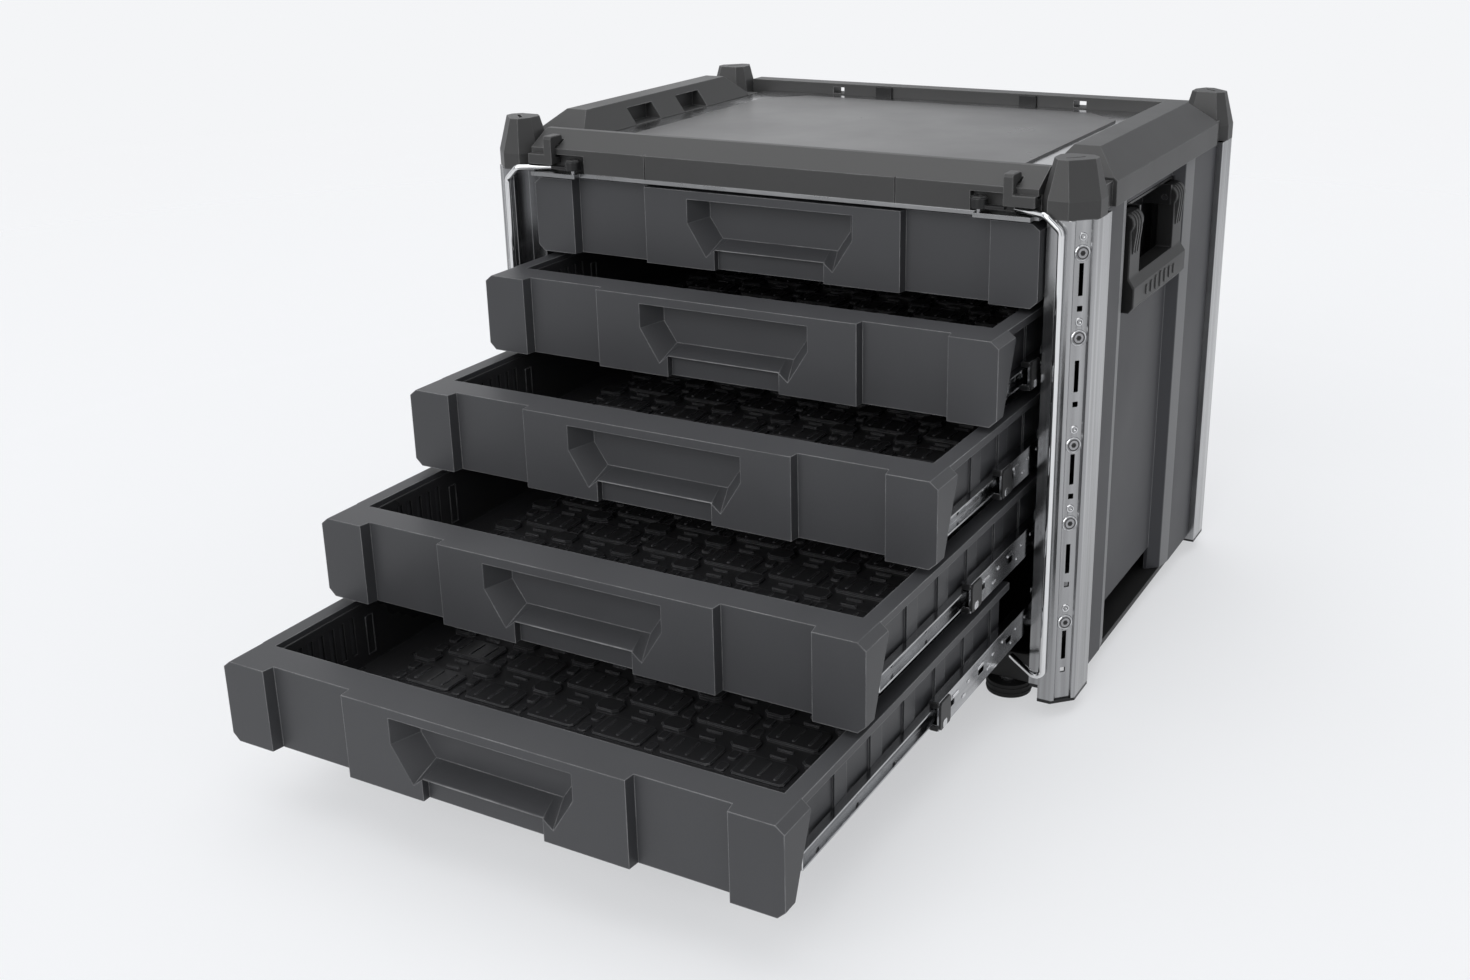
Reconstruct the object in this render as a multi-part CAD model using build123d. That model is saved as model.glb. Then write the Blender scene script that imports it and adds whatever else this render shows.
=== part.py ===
from build123d import *
import math
import os

# Stackable tool box with five drawers. Millimetres; X right, Y back, Z up.
# The origin is on the floor, midway between the four feet. The drawers
# open towards -Y, and each one is drawn as far open as it stands at rest.

# ---- overall size -------------------------------------------------------
WIDTH = 442.0            # over the corner caps
DEPTH = 337.0            # over the corner caps
FOOT_DROP = 12.0         # floor to the underside of the corner posts
POST_LENGTH = 316.5      # corner posts, foot end to top end
CAP_HEIGHT = 34.5        # corner caps, above the posts

# ---- drawers ------------------------------------------------------------
DRAWER_COUNT = 5
SIDE_GAP = 0.7           # front to the post leg, each side
FRONT_GAP = 4.1          # between one front and the next
TOP_GAP = 2.5            # top plate to the top front
BOTTOM_GAP = 27.8        # base plate to the lowest front
FRONT_THICKNESS = 27.0
FRONT_SETBACK = 7.9      # front faces behind the faces of the caps
REST_PULL = [0.0, 62.0, 147.0, 236.5, 325.5]
BLOCK_WIDTH = 31.5       # raised block at each end of a front
CENTRE_BLOCK = 190.0     # raised block in the middle
FIELD_DEPTH = 7.2        # the fields between lie this far back
GRIP_WIDTH = 123.0
GRIP_DEPTH = 16.0
LIP_DEPTH = 5.0
FRONT_TOP_CUT = (5.1, 4.1)   # cut corners of a front, across and down
FRONT_LOW_CUT = (4.7, 4.5)
FIELD_SLOPES = (1.5, 0.8)    # outer and inner slope of a field
END_WEDGE = (9.5, 3.0, 6.5)  # front's ends taper: start, foot and head of the slope
GRIP_TOP = 5.8           # grip's mouth below the top edge of the front
GRIP_BEND = 0.42         # shares of the front's height, from its top edge
GRIP_LIP = 0.735
GRIP_LOW = 0.84
GRIP_LOW_IN = 14.0       # mouth's lower corners inside its ends
GRIP_LIP_IN = 20.5
GRIP_BACK_IN = 8.5       # grip's back wall inside its mouth
GRIP_BACK_TOP = 7.5
GRIP_BACK_BEND = 0.38
GRIP_BACK_LOW = 0.645
GRIP_BACK_CUTS = (9.5, 15.0)
HOLLOW_GAP = 8.0         # hollows behind a front, from the grip
HOLLOW_SPLIT = 112.0     # rib between the two hollows starts here
HOLLOW_END = 150.0
HOLLOW_WALL = 3.0
HOLLOW_ROOF = 5.0
DRAWER_WALL = 2.7
RIB_PROUD = 1.5          # side ribs that carry the slide
RIB_COUNT = 7
RIB_LENGTH = 14.0
RIB_ENDS = (10.0, 8.0)   # first and last rib's middle from the ends of the box
RIB_ROOT = 0.5
BOX_RAISE = 3.6          # underside of the box above the foot of the front
FLOOR_THICKNESS = 2.5
RIM_WIDTH = 6.0          # rim lip, outside the ribs
RIM_THICKNESS = 5.0
REAR_RIM = 2.0
DRAWER_REAR_GAP = 5.5    # closed drawer to the back panel
LINER_WALL = 1.6
LINER_GAP = 0.3
LINER_DROP = 3.0         # liner top below the drawer rim
LINER_SLOTS = 6
LINER_SLOT_START = 14.0
LINER_SLOT_PITCH = 9.0
LINER_SLOT_LENGTH = 4.0
LINER_SLOT_FOOT = 12.0
LINER_SLOT_HEAD = 6.0

# ---- slides -------------------------------------------------------------
SLIDE_SPACE = 11.2       # drawer rib to post leg
SLIDE_RISE = 14.6        # slide's centre line above the foot of the front
SLIDE_HEIGHT = 27.0
SLIDE_SHEET = 1.2
RACE = 3.7               # rolled edge of the outer and middle rails
RUN_GAP = 0.3
INNER_HEIGHT = 10.6
INNER_FLANGE = 5.0
OUTER_SET = 3.2          # rib to the open edge of the outer rail
MIDDLE_SET = 3.0         # web of the middle rail inside the outer web
MIDDLE_RIB_GAP = 2.0     # rib to the open edge of the middle rail
WINDOW_LENGTH = 9.0
WINDOW_HALF = 1.9
SLIDE_HOLES = 6
SLIDE_START = 28.5       # slide front end behind the closed front

# ---- corner posts -------------------------------------------------------
SHEET = 1.6
CAP_OVERHANG = 0.6
POST_FACE = 8.0          # flat facing forward
POST_CORNER = 11.6       # leg of the 45 degree corner
POST_SIDE = 25.0         # flat facing sideways
POST_FLANGE = 11.6       # return behind the side panel's band
POST_STEP = 16.8         # face to the inner wall
LEG_LENGTH = 34.0        # leg that carries the slides
LEG_TO_FACE = 12.0       # leg to the inner edge of the face
STRIP_DEPTH = 1.8
STRIP_SHARES = (0.10, 0.17)  # sunk strip starts and ends at these shares of the corner
HOLE_PITCH = 60.4
SQUARE_START = 20.9      # first square hole above the foot of the post
SQUARE_SIZE = 3.4
SLOT_RISE = 7.9
SLOT_LENGTH = 20.0
SLOT_WIDTH = 2.8
SCREW_RISE = [34.1, 42.3]
DIMPLE_RISE = 9.9
DIMPLE_RADIUS = 1.6
SCREW_HEAD = 4.1
SCREW_SHANK = 1.9
SCREW_HEAD_HEIGHT = 0.9
SCREW_LENGTH = 4.8
SCREW_SOCKET = 1.5
SOCKET_FLOOR = 0.3
SHOE_THICKNESS = 2.0
SHOE_PROUD = 0.9         # shoe outside the middle of the post's sheet
SHOE_SET_IN = 1.0

# ---- casing -------------------------------------------------------------
TOP_PLATE = 2.8
BASE_PLATE = 4.0
BACK_THICKNESS = 3.0
PANEL_THICKNESS = 3.0
BAND_SET_IN = 5.0        # side bands inside the overall width
FIELD_SET_IN = 15.0      # side field inside the overall width
BAND_SLOPE = 14.0        # band thins towards the recess over this length
BAND_THIN = 2.5          # and by this much
RECESS_SLOPE = 7.0       # length of the slope down to the field
PANEL_FOOT_CUT = 18.0    # cut in the foot of the field
BASE_EDGE = 8.0          # thickened side edge of the base plate
BASE_EDGE_RISE = 14.0
SILL_THICKNESS = 3.0
SILL_RISE = 16.0
BACK_RIBS = 7
BACK_RIB_HALF = 9.0
BACK_RIB_PROUD = 2.0
BACK_RIB_END = 18.0
TAB_PROUD = 2.0          # top plate's tab in front of the post face
SHELF_GAP = 2.0          # post leg to the edges of the base plate's shelves
RECESS_CENTRE = -10.0
RECESS_HALF = 68.0
HANDLE_REACH = 60.0      # half the length of a side handle
POCKET_TOP_DROP = 12.0   # pocket top below the top of the panel
POCKET_HEIGHT = 72.0
POCKET_DEPTH = 14.0
POCKET_WALL = 1.6
KNUCKLE_RADIUS = 7.5
PIVOT_PROUD = 3.0        # handle pivot outside the side field
PIN_RADIUS = 2.0
PIN_SET_IN = 1.0
EAR_THICKNESS = 3.0
EAR_PROUD = 4.0          # ear outside the pivot
EAR_DROP = 5.0           # ear below the pivot
EAR_SPACE = 2.0          # arm to the middle of its ear
POCKET_HOLE = 1.8
POCKET_SCREW = (1.5, 3.4, 1.8)   # shank radius, head radius, head height
POCKET_SCREW_LENGTH = 4.6
HANDLE_RISE = 4.0        # hanging handle above the pocket's floor
HANDLE_BACK = 2.5        # handle's back inside the field
HANDLE_FRONT_IN = 2.0    # handle's front inside the overall width
ARM_SET_IN = 4.0         # arms behind the face of the bar
BAR_HEIGHT = 23.0
BAR_FACE = (4.0, 17.0)   # foot and head of the bar's face
BAR_EDGE = 3.0
BAR_TOP_SLOPE = 4.0
ARM_WIDTH = 24.0         # each arm of a side handle
FOOT_RADIUS = 15.0
FOOT_HEIGHT = 9.0
BOLT_RADIUS = 4.0
BOLT_COLLAR = 8.0
BOLT_RISE = 8.0          # bolt's end above the base plate
NUT_RADIUS = 6.0
NUT_HEIGHT = 5.0
FOOT_INSET_X = 51.0
FOOT_INSET_Y = 27.0

# ---- lid ----------------------------------------------------------------
CAP_LAP = 1.2            # cap over the edge of the top plate
CAP_CORNER = 14.8
CAP_BAND = 11.0
CAP_TAPER = 5.5
CAP_INNER_CUTS = (7.0, 5.0)  # cut inner corners, at the band and at the top
CAP_CORNER_SHRINK = 0.4  # corner's loss for each millimetre of taper
CAP_LONG_CUT = 1.7       # the cut beside the rail is longer by this factor
CAP_SLOT = (13.0, 2.2, 8.0)
RAIL_SET_IN = 5.5        # front rail behind the faces of the caps
RAIL_BAND = 16.0
RAIL_RISE = 10.5
RAIL_RUN = 19.0
RAIL_FLAT = 5.0          # flat on top of the front rail
RUNNER_DROP = 0.5        # side runner below the front rail's band
SIDE_BLOCK_GAP = 15.5    # corner cap to the raised side block
SIDE_BLOCK_RISE = 32.5
SIDE_BLOCK_IN = 2.0      # block's face inside the overall width
SIDE_BLOCK_SLOPE = 18.0
SIDE_BLOCK_LEAN = 12.0   # block's inner face leans outwards by this much
SIDE_BLOCK_END = 20.0    # run of the slope at each end of the block
SIDE_BLOCK_LIP = 2.0
STACK_DEPTH = 14.0       # stacking pockets in the side blocks
STACK_PLACE = 34.0
STACK_HALF = 17.0
STACK_ROOF = 5.0
LEDGE_WIDTH = 6.0        # ledge under the edges of the lid floor
LID_FLOOR_RISE = 11.5
LID_FLOOR_THICKNESS = 3.5
LABEL_THICKNESS = 1.5
LABEL_SIDE_GAP = 23.0
LABEL_FRONT_GAP = 21.0
LABEL_REAR_GAP = 24.0
LABEL_CUT = 28.0
SIDE_IN = 49.0           # inner edge of a side rail inside the overall width
REAR_IN = 18.5           # front edge of the rear rail inside the overall depth
SEAM_IN = 3.0            # rail seams inside the edge of the drawers' centre block
SEAM_WIDTH = 0.7
SEAM_DEPTH = 1.2
SEAM_ABOVE = 0.5
CLIP_HALF = 7.0
CLIP_PLACE = 62.0
CLIP_THICKNESS = 2.5
CLIP_HEIGHT = 8.0
CLIP_DROP = 1.0
REAR_SET_IN = 4.0        # rear rail's back inside the overall depth
REAR_RISE = 24.0         # rear rail above the posts
REAR_SLOT = [99.0, 109.0]
REAR_SLOT_LEVELS = [16.0, 21.0]

# ---- front latch rods ---------------------------------------------------
ROD_RADIUS = 2.1
ROD_INSET = 3.0          # rod's centre line outside the inner edge of the post face
ARM_REACH = 32.4         # upper arm, inwards from the rod
ARM_BACK = 10.8          # upper arm, backwards from the rod
ARM_BEND = (9.6, 0.9, 9.0)   # start of the upper bend: inwards, forwards, down
FOOT_RISE = 14.0         # rod's lower bend above the base plate
FOOT_BEND = (7.0, 0.3)   # start of the lower arm: inwards, forwards
FOOT_ARM = (27.0, 15.8, 1.0)  # end of the lower arm: inwards, back, up
BEND_RADII = [5.0, 5.0, 4.0, 5.0]
TAB_REACH = 41.0         # tab's inner end inside the post leg
TAB_LENGTH = 37.0
TAB_SPACE = 4.0          # rail recess beyond the tab's inner end
RECESS_BACK = 6.0        # rail recess behind the rail's face
RECESS_TOP = 12.0        # rail recess above the top plate
LEVER_HALF = 2.5
LEVER_THICKNESS = 2.0
BUTTON_RADIUS = 5.5
BUTTON_HEIGHT = 6.0
LEVER_HEEL = 4.0         # bar behind the lever's pin
TIP_GAP = 2.4            # lever's tip to the rod's arm
LEVER_PIN = 1.5
PIVOT_GAP = 0.25         # turning clearance round a pin
CATCH_STEM = 6.5
CATCH_PROUD = 5.5        # catch in front of the rail's face
CATCH_HEAD = 14.0        # catch's head, stem to rear tip
HEAD_RISE = 2.5          # catch's head above the rail's band
HEAD_HEIGHT = 6.5
HEAD_TAPER = 3.0         # rise of the head's underside towards its tip
HEAD_CHAMFERS = (1.0, 2.0)
CATCH_FEET = (7.0, 5.0)  # heights of the catch's outer and inner foot
FIT = 0.3                # general clearance between separate parts
OVER = 1.0               # cuts run past a face, and roots into a body, by this much
WELD = 0.01              # box and front of a drawer share this much

# ---- worked-out places --------------------------------------------------
POST_TOP = FOOT_DROP + POST_LENGTH
LID_TOP = POST_TOP + CAP_HEIGHT
FACE_Y = -(DEPTH / 2 - CAP_OVERHANG - SHEET / 2)
SIDE_X = WIDTH / 2 - CAP_OVERHANG - SHEET / 2
FRONT_Y = -DEPTH / 2 + FRONT_SETBACK
TOP_PLATE_Z = POST_TOP - TOP_PLATE
DRAWER_TOP = TOP_PLATE_Z - TOP_GAP
FACE_X = SIDE_X - POST_CORNER - POST_FACE
LEG_X = FACE_X - LEG_TO_FACE
LEG_IN = LEG_X - SHEET / 2
HALF_FRONT = LEG_IN - SIDE_GAP
RIB_X = LEG_IN - SLIDE_SPACE
WALL_X = RIB_X - RIB_PROUD
STEP_Y = FACE_Y + POST_STEP
BACK_Y = -STEP_Y + SHEET / 2
DRAWER_BACK = BACK_Y - DRAWER_REAR_GAP
SLIDE_FRONT = FRONT_Y + SLIDE_START
SLIDE_BACK = DRAWER_BACK
PLATE_Z = FOOT_DROP + BASE_PLATE
FRONTS_SPACE = DRAWER_TOP - PLATE_Z - BOTTOM_GAP
FRONT_HEIGHT = (FRONTS_SPACE - (DRAWER_COUNT - 1) * FRONT_GAP) / DRAWER_COUNT
PITCH = FRONT_HEIGHT + FRONT_GAP
SLIDE_DROP = FRONT_HEIGHT - SLIDE_RISE
BAND_X = WIDTH / 2 - BAND_SET_IN
FIELD_X = WIDTH / 2 - FIELD_SET_IN
SIDE_END = FACE_Y + POST_CORNER + POST_SIDE
FLANGE_END = SIDE_END + POST_FLANGE
SHELF_START = max(STEP_Y + LEG_LENGTH + SHELF_GAP, FLANGE_END + FIT)
CAP_SIZE = WIDTH / 2 - LEG_IN + CAP_LAP
CAP_IN_X = WIDTH / 2 - CAP_SIZE
CAP_IN_Y = DEPTH / 2 - CAP_SIZE
RAIL_Y = -DEPTH / 2 + RAIL_SET_IN
SIDE_IN_X = WIDTH / 2 - SIDE_IN
REAR_RAIL_Y = DEPTH / 2 - REAR_IN
LID_FLOOR_Y = RAIL_Y + RAIL_RUN + RAIL_FLAT + FIT
SIDE_BLOCK_HALF = CAP_IN_Y - SIDE_BLOCK_GAP
POCKET_HALF = HANDLE_REACH + 2.0
POCKET_ROOF = POST_TOP - POCKET_TOP_DROP
POCKET_BOTTOM = POCKET_ROOF - POCKET_HEIGHT
POCKET_FLOOR_X = FIELD_X - POCKET_DEPTH
PIVOT_X = FIELD_X + PIVOT_PROUD
PIVOT_Z = POCKET_ROOF - KNUCKLE_RADIUS - 2.0
EAR_HALF = HANDLE_REACH - ARM_WIDTH
ROD_X = FACE_X + ROD_INSET
ROD_Y = FACE_Y - SHEET / 2 - FIT - ROD_RADIUS
ARM_Z = POST_TOP + 2.6
ARM_TIP_X = ROD_X - ARM_REACH
TAB_IN = LEG_IN - TAB_REACH
LEVER_X = TAB_IN + 2 * LEVER_PIN
LEVER_Y = RAIL_Y - 3.0
LEVER_Z = POST_TOP + 2.8
CATCH_LOW = ARM_Z + ROD_RADIUS + 2 * FIT
SIDES = {"left": -1, "right": 1}


def box(x0, x1, y0, y1, z0, z1):
    """Block between two corners."""
    centre = ((x0 + x1) / 2, (y0 + y1) / 2, (z0 + z1) / 2)
    return Pos(*centre) * Box(abs(x1 - x0), abs(y1 - y0), abs(z1 - z0))


def side_box(side, x0, x1, y0, y1, z0, z1):
    """Block on the left (-1) or right (1), given for the right side."""
    return box(side * x0, side * x1, y0, y1, z0, z1)


def along_x(points, x0, x1):
    """Outline in Y and Z, run from x0 to x1."""
    plane = Plane(origin=(x0, 0, 0), x_dir=(0, 1, 0), z_dir=(1, 0, 0))
    return extrude(plane * make_face(Polyline(*points, close=True)), x1 - x0)


def along_y(points, y0, y1):
    """Outline in X and Z, run from y0 to y1."""
    plane = Plane(origin=(0, y1, 0), x_dir=(1, 0, 0), z_dir=(0, -1, 0))
    return extrude(plane * make_face(Polyline(*points, close=True)), y1 - y0)


def along_z(points, z0, z1):
    """Outline in X and Y, run from z0 to z1."""
    return extrude(Plane.XY.offset(z0) * make_face(Polyline(*points, close=True)), z1 - z0)


def pin(radius, start, end):
    """Round bar from one point to another."""
    run = Vector(*end) - Vector(*start)
    plane = Plane(origin=start, z_dir=run)
    return extrude(plane * Circle(radius), run.length)


def other_side(shape):
    return mirror(shape, about=Plane.YZ)


def on_side(shape, side):
    """The shape as drawn for the right, or mirrored to the left."""
    return shape if side > 0 else other_side(shape)


def quarters(shape):
    """The shape as drawn for the front right, on all four corners."""
    back = mirror(shape, about=Plane.XZ)
    return {
        "front_right": shape,
        "front_left": other_side(shape),
        "back_right": back,
        "back_left": other_side(back),
    }


def solids_of(*shapes):
    return Compound(children=[s for shape in shapes for s in shape.solids()])


def drawer_top(index):
    """Height of the top edge of a drawer front; the top drawer is 0."""
    return DRAWER_TOP - index * PITCH


# ---- corner posts -------------------------------------------------------
CORNER_START = (FACE_X + POST_FACE, FACE_Y)
CORNER_RUN = POST_CORNER * math.sqrt(2)
STRIP_MIDDLE = (
    CORNER_START[0] + POST_CORNER / 2 - STRIP_DEPTH / math.sqrt(2),
    CORNER_START[1] + POST_CORNER / 2 + STRIP_DEPTH / math.sqrt(2),
)
OUTWARD = (math.sqrt(0.5), -math.sqrt(0.5), 0)


def corner_point(share, depth):
    """A point along the 45 degree corner, sunk by depth."""
    along = share * CORNER_RUN / math.sqrt(2)
    sink = depth / math.sqrt(2)
    return (CORNER_START[0] + along - sink, CORNER_START[1] + along + sink)


def hole_levels():
    """Heights of the square holes, above the floor."""
    first = FOOT_DROP + SQUARE_START
    count = int((POST_LENGTH - SQUARE_START) // HOLE_PITCH) + 1
    return [first + n * HOLE_PITCH for n in range(count)]


def screw_levels():
    levels = []
    for n, level in enumerate(hole_levels()):
        height = level + SCREW_RISE[n % 2]
        if height < POST_TOP - 3 * SCREW_HEAD:
            levels.append(height)
    return levels


def strip_plane(height):
    return Plane(
        origin=(STRIP_MIDDLE[0], STRIP_MIDDLE[1], height),
        x_dir=(math.sqrt(0.5), math.sqrt(0.5), 0),
        z_dir=OUTWARD,
    )


def corner_post():
    """Roll-formed post for the front right corner."""
    edge, sunk = STRIP_SHARES
    path = Polyline(
        (LEG_X, STEP_Y + LEG_LENGTH),
        (LEG_X, STEP_Y),
        (FACE_X, STEP_Y),
        (FACE_X, FACE_Y),
        corner_point(0, 0),
        corner_point(edge, 0),
        corner_point(sunk, STRIP_DEPTH),
        corner_point(1 - sunk, STRIP_DEPTH),
        corner_point(1 - edge, 0),
        corner_point(1, 0),
        (SIDE_X, SIDE_END),
        (BAND_X - PANEL_THICKNESS - SHEET / 2, SIDE_END),
        (BAND_X - PANEL_THICKNESS - SHEET / 2, FLANGE_END),
    )
    post = extrude(Plane.XY.offset(FOOT_DROP) * trace(path, SHEET), POST_LENGTH)
    reach = 4 * SHEET
    for level in hole_levels():
        for width, low, high in (
            (SQUARE_SIZE, level - SQUARE_SIZE / 2, level + SQUARE_SIZE / 2),
            (SLOT_WIDTH, level + SLOT_RISE, level + SLOT_RISE + SLOT_LENGTH),
        ):
            if high < POST_TOP - SQUARE_SIZE:
                cut = strip_plane((low + high) / 2) * Box(width, high - low, reach)
                post -= cut
    for height in screw_levels():
        post -= strip_plane(height) * Cylinder(SCREW_SHANK + FIT, reach)
        dimple = strip_plane(height + DIMPLE_RISE).offset(SHEET)
        post -= dimple * Sphere(DIMPLE_RADIUS)
    return post


def corner_screw(height):
    """Countersunk screw with a driver socket, on the front right post."""
    face = strip_plane(height).offset(SHEET / 2)
    head = face * extrude(Circle(SCREW_HEAD), SCREW_HEAD_HEIGHT)
    head += face.offset(-SCREW_LENGTH) * extrude(Circle(SCREW_SHANK), SCREW_LENGTH)
    head -= face.offset(SOCKET_FLOOR) * extrude(RegularPolygon(SCREW_SOCKET, 6), SCREW_HEAD_HEIGHT)
    return head


# ---- drawers ------------------------------------------------------------
def grip_cut():
    """Trapezoid finger recess, cut from the front face inwards."""
    half = GRIP_WIDTH / 2
    bend, lip, low = (-share * FRONT_HEIGHT for share in (GRIP_BEND, GRIP_LIP, GRIP_LOW))
    mouth = [
        (-half, -GRIP_TOP), (-half, bend), (-half + GRIP_LOW_IN, low), (-half + GRIP_LIP_IN, lip),
        (half - GRIP_LIP_IN, lip), (half - GRIP_LOW_IN, low), (half, bend), (half, -GRIP_TOP),
    ]
    bend, low = -GRIP_BACK_BEND * FRONT_HEIGHT, -GRIP_BACK_LOW * FRONT_HEIGHT
    inset = half - GRIP_BACK_IN
    corner, middle = (inset - cut for cut in GRIP_BACK_CUTS)
    back = [
        (-inset, -GRIP_BACK_TOP), (-inset, bend), (-corner, low), (-middle, low),
        (middle, low), (corner, low), (inset, bend), (inset, -GRIP_BACK_TOP),
    ]
    planes = [
        Plane(origin=(0, y, 0), x_dir=(1, 0, 0), z_dir=(0, -1, 0)) for y in (0, GRIP_DEPTH)
    ]
    faces = [p * make_face(Polyline(*o, close=True)) for p, o in zip(planes, (mouth, back))]
    return loft(faces, ruled=True)


def drawer_front():
    """Moulded front; its face lies on Y = 0 and its top on Z = 0."""
    h = FRONT_HEIGHT
    across, down = FRONT_TOP_CUT
    low_across, low_up = FRONT_LOW_CUT
    outline = [
        (-HALF_FRONT, -down), (-HALF_FRONT + across, 0), (HALF_FRONT - across, 0),
        (HALF_FRONT, -down), (HALF_FRONT, -h + low_up), (HALF_FRONT - low_across, -h),
        (-HALF_FRONT + low_across, -h), (-HALF_FRONT, -h + low_up),
    ]
    body = along_y(outline, 0, FRONT_THICKNESS)
    start, foot, head = END_WEDGE
    outer, inner = FIELD_SLOPES
    field_end = HALF_FRONT - BLOCK_WIDTH
    for side in (-1, 1):
        cut = [(FRONT_THICKNESS + OVER, -head), (FRONT_THICKNESS + OVER, -h - OVER),
               (start, -h - OVER), (start, -h + foot), (FRONT_THICKNESS, -head)]
        body -= on_side(along_x(cut, WALL_X, HALF_FRONT + OVER), side)
        field = [(CENTRE_BLOCK / 2, -OVER), (field_end, -OVER),
                 (field_end - outer, FIELD_DEPTH), (CENTRE_BLOCK / 2 + inner, FIELD_DEPTH)]
        body -= on_side(along_z(field, -h - OVER, OVER), side)
        for x0, x1 in ((GRIP_WIDTH / 2 + HOLLOW_GAP, HOLLOW_SPLIT),
                       (HOLLOW_SPLIT + HOLLOW_WALL, HOLLOW_END)):
            body -= side_box(side, x0, x1, FIELD_DEPTH + HOLLOW_WALL, FRONT_THICKNESS - HOLLOW_WALL,
                             -h - OVER, -HOLLOW_ROOF)
    body -= grip_cut()
    lip = GRIP_WIDTH / 2 - GRIP_LIP_IN
    body -= box(-lip, lip, -OVER, LIP_DEPTH, -h - OVER, -GRIP_LIP * h)
    return body


def drawer_box():
    """Open box behind the front, with rim, ribs and floor."""
    depth = DRAWER_BACK - FRONT_Y
    low = -FRONT_HEIGHT + BOX_RAISE
    shell = box(-WALL_X, WALL_X, FRONT_THICKNESS - WELD, depth, low, 0)
    inner = WALL_X - DRAWER_WALL
    shell -= box(-inner, inner, FRONT_THICKNESS, depth - DRAWER_WALL, low + FLOOR_THICKNESS, OVER)
    rim_out = RIB_X + RIM_WIDTH
    first = FRONT_THICKNESS + RIB_ENDS[0]
    step = (depth - RIB_ENDS[1] - first) / (RIB_COUNT - 1)
    for side in (-1, 1):
        shell += side_box(side, inner, rim_out, FRONT_THICKNESS - WELD, depth, -RIM_THICKNESS, 0)
        for n in range(RIB_COUNT):
            start = first + n * step - RIB_LENGTH / 2
            shell += side_box(side, WALL_X - RIB_ROOT, RIB_X, start, start + RIB_LENGTH,
                              low, -RIM_THICKNESS)
    shell += box(-inner, inner, depth - DRAWER_WALL, depth + REAR_RIM, -RIM_THICKNESS, 0)
    return shell


def liner():
    """Loose tray that lines the drawer, with slotted side walls."""
    inner = WALL_X - DRAWER_WALL - LINER_GAP
    front = FRONT_THICKNESS + LINER_GAP
    back = DRAWER_BACK - FRONT_Y - DRAWER_WALL - LINER_GAP
    low = -FRONT_HEIGHT + BOX_RAISE + FLOOR_THICKNESS
    tray = box(-inner, inner, front, back, low, -LINER_DROP)
    hollow = inner - LINER_WALL
    tray -= box(-hollow, hollow, front + LINER_WALL, back - LINER_WALL, low + LINER_WALL, OVER)
    for n in range(LINER_SLOTS):
        y = front + LINER_SLOT_START + n * LINER_SLOT_PITCH
        tray -= box(-inner - OVER, inner + OVER, y, y + LINER_SLOT_LENGTH,
                    low + LINER_SLOT_FOOT, -LINER_DROP - LINER_SLOT_HEAD)
    return tray


# ---- slides -------------------------------------------------------------
def rail(web_x, far, height, race):
    """C-shaped rail with its web at web_x, open towards far."""
    web_in = web_x + math.copysign(SLIDE_SHEET, far - web_x)
    profile = [
        (web_x, -height / 2), (far, -height / 2), (far, -height / 2 + race),
        (web_in, -height / 2 + race), (web_in, height / 2 - race), (far, height / 2 - race),
        (far, height / 2), (web_x, height / 2),
    ]
    return along_y(profile, SLIDE_FRONT, SLIDE_BACK)


def slide_rails():
    """Outer, middle and inner rails for the right, closed, on Z = 0."""
    middle_height = SLIDE_HEIGHT - 2 * RACE - 2 * RUN_GAP
    middle_race = (middle_height - INNER_HEIGHT) / 2 - RUN_GAP
    outer = rail(LEG_IN, RIB_X + OUTER_SET, SLIDE_HEIGHT, RACE)
    middle = rail(LEG_IN - MIDDLE_SET, RIB_X + MIDDLE_RIB_GAP, middle_height, middle_race)
    inner = rail(RIB_X, RIB_X + INNER_FLANGE, INNER_HEIGHT, SLIDE_SHEET)
    step = (SLIDE_BACK - SLIDE_FRONT) / SLIDE_HOLES
    for n in range(SLIDE_HOLES):
        y = SLIDE_FRONT + (n + 0.5) * step
        middle -= box(RIB_X + INNER_FLANGE, LEG_IN, y - WINDOW_LENGTH, y, -WINDOW_HALF, WINDOW_HALF)
        inner -= pin(WINDOW_HALF, (RIB_X - OVER, y, 0), (RIB_X + SLIDE_SHEET + OVER, y, 0))
    return outer, middle, inner


# ---- casing -------------------------------------------------------------
def side_panel():
    """Right side panel: two outer bands, a set-back field and the handle recess."""
    end = -SIDE_END - SHEET / 2 - FIT
    low, high = FOOT_DROP + BASE_PLATE, POST_TOP
    inner = FIELD_X - PANEL_THICKNESS
    front_edge, back_edge = RECESS_CENTRE - RECESS_HALF, RECESS_CENTRE + RECESS_HALF
    front_slope, back_slope = front_edge - BAND_SLOPE, back_edge + BAND_SLOPE
    outline = [(inner, -end), (BAND_X, -end), (BAND_X, front_slope),
               (BAND_X - BAND_THIN, front_edge), (FIELD_X, front_edge + RECESS_SLOPE),
               (FIELD_X, back_edge - RECESS_SLOPE), (BAND_X - BAND_THIN, back_edge), (BAND_X, back_slope),
               (BAND_X, end), (inner, end)]
    panel = along_z(outline, low, high)
    cave_x = BAND_X - PANEL_THICKNESS
    front_cave = max(front_slope, FLANGE_END + FIT)
    back_cave = min(back_slope, -FLANGE_END - FIT)
    panel -= box(inner - OVER, cave_x, -end - OVER, front_cave, low - OVER, high + OVER)
    panel -= box(inner - OVER, cave_x, back_cave, end + OVER, low - OVER, high + OVER)
    panel -= box(inner - OVER, WIDTH, front_edge + RECESS_SLOPE, back_edge - RECESS_SLOPE,
                 low - OVER, low + PANEL_FOOT_CUT)
    y0, y1 = RECESS_CENTRE - POCKET_HALF - FIT, RECESS_CENTRE + POCKET_HALF + FIT
    panel -= box(inner - OVER, WIDTH, y0, y1, POCKET_BOTTOM - FIT, POCKET_ROOF + FIT)
    return panel


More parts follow.
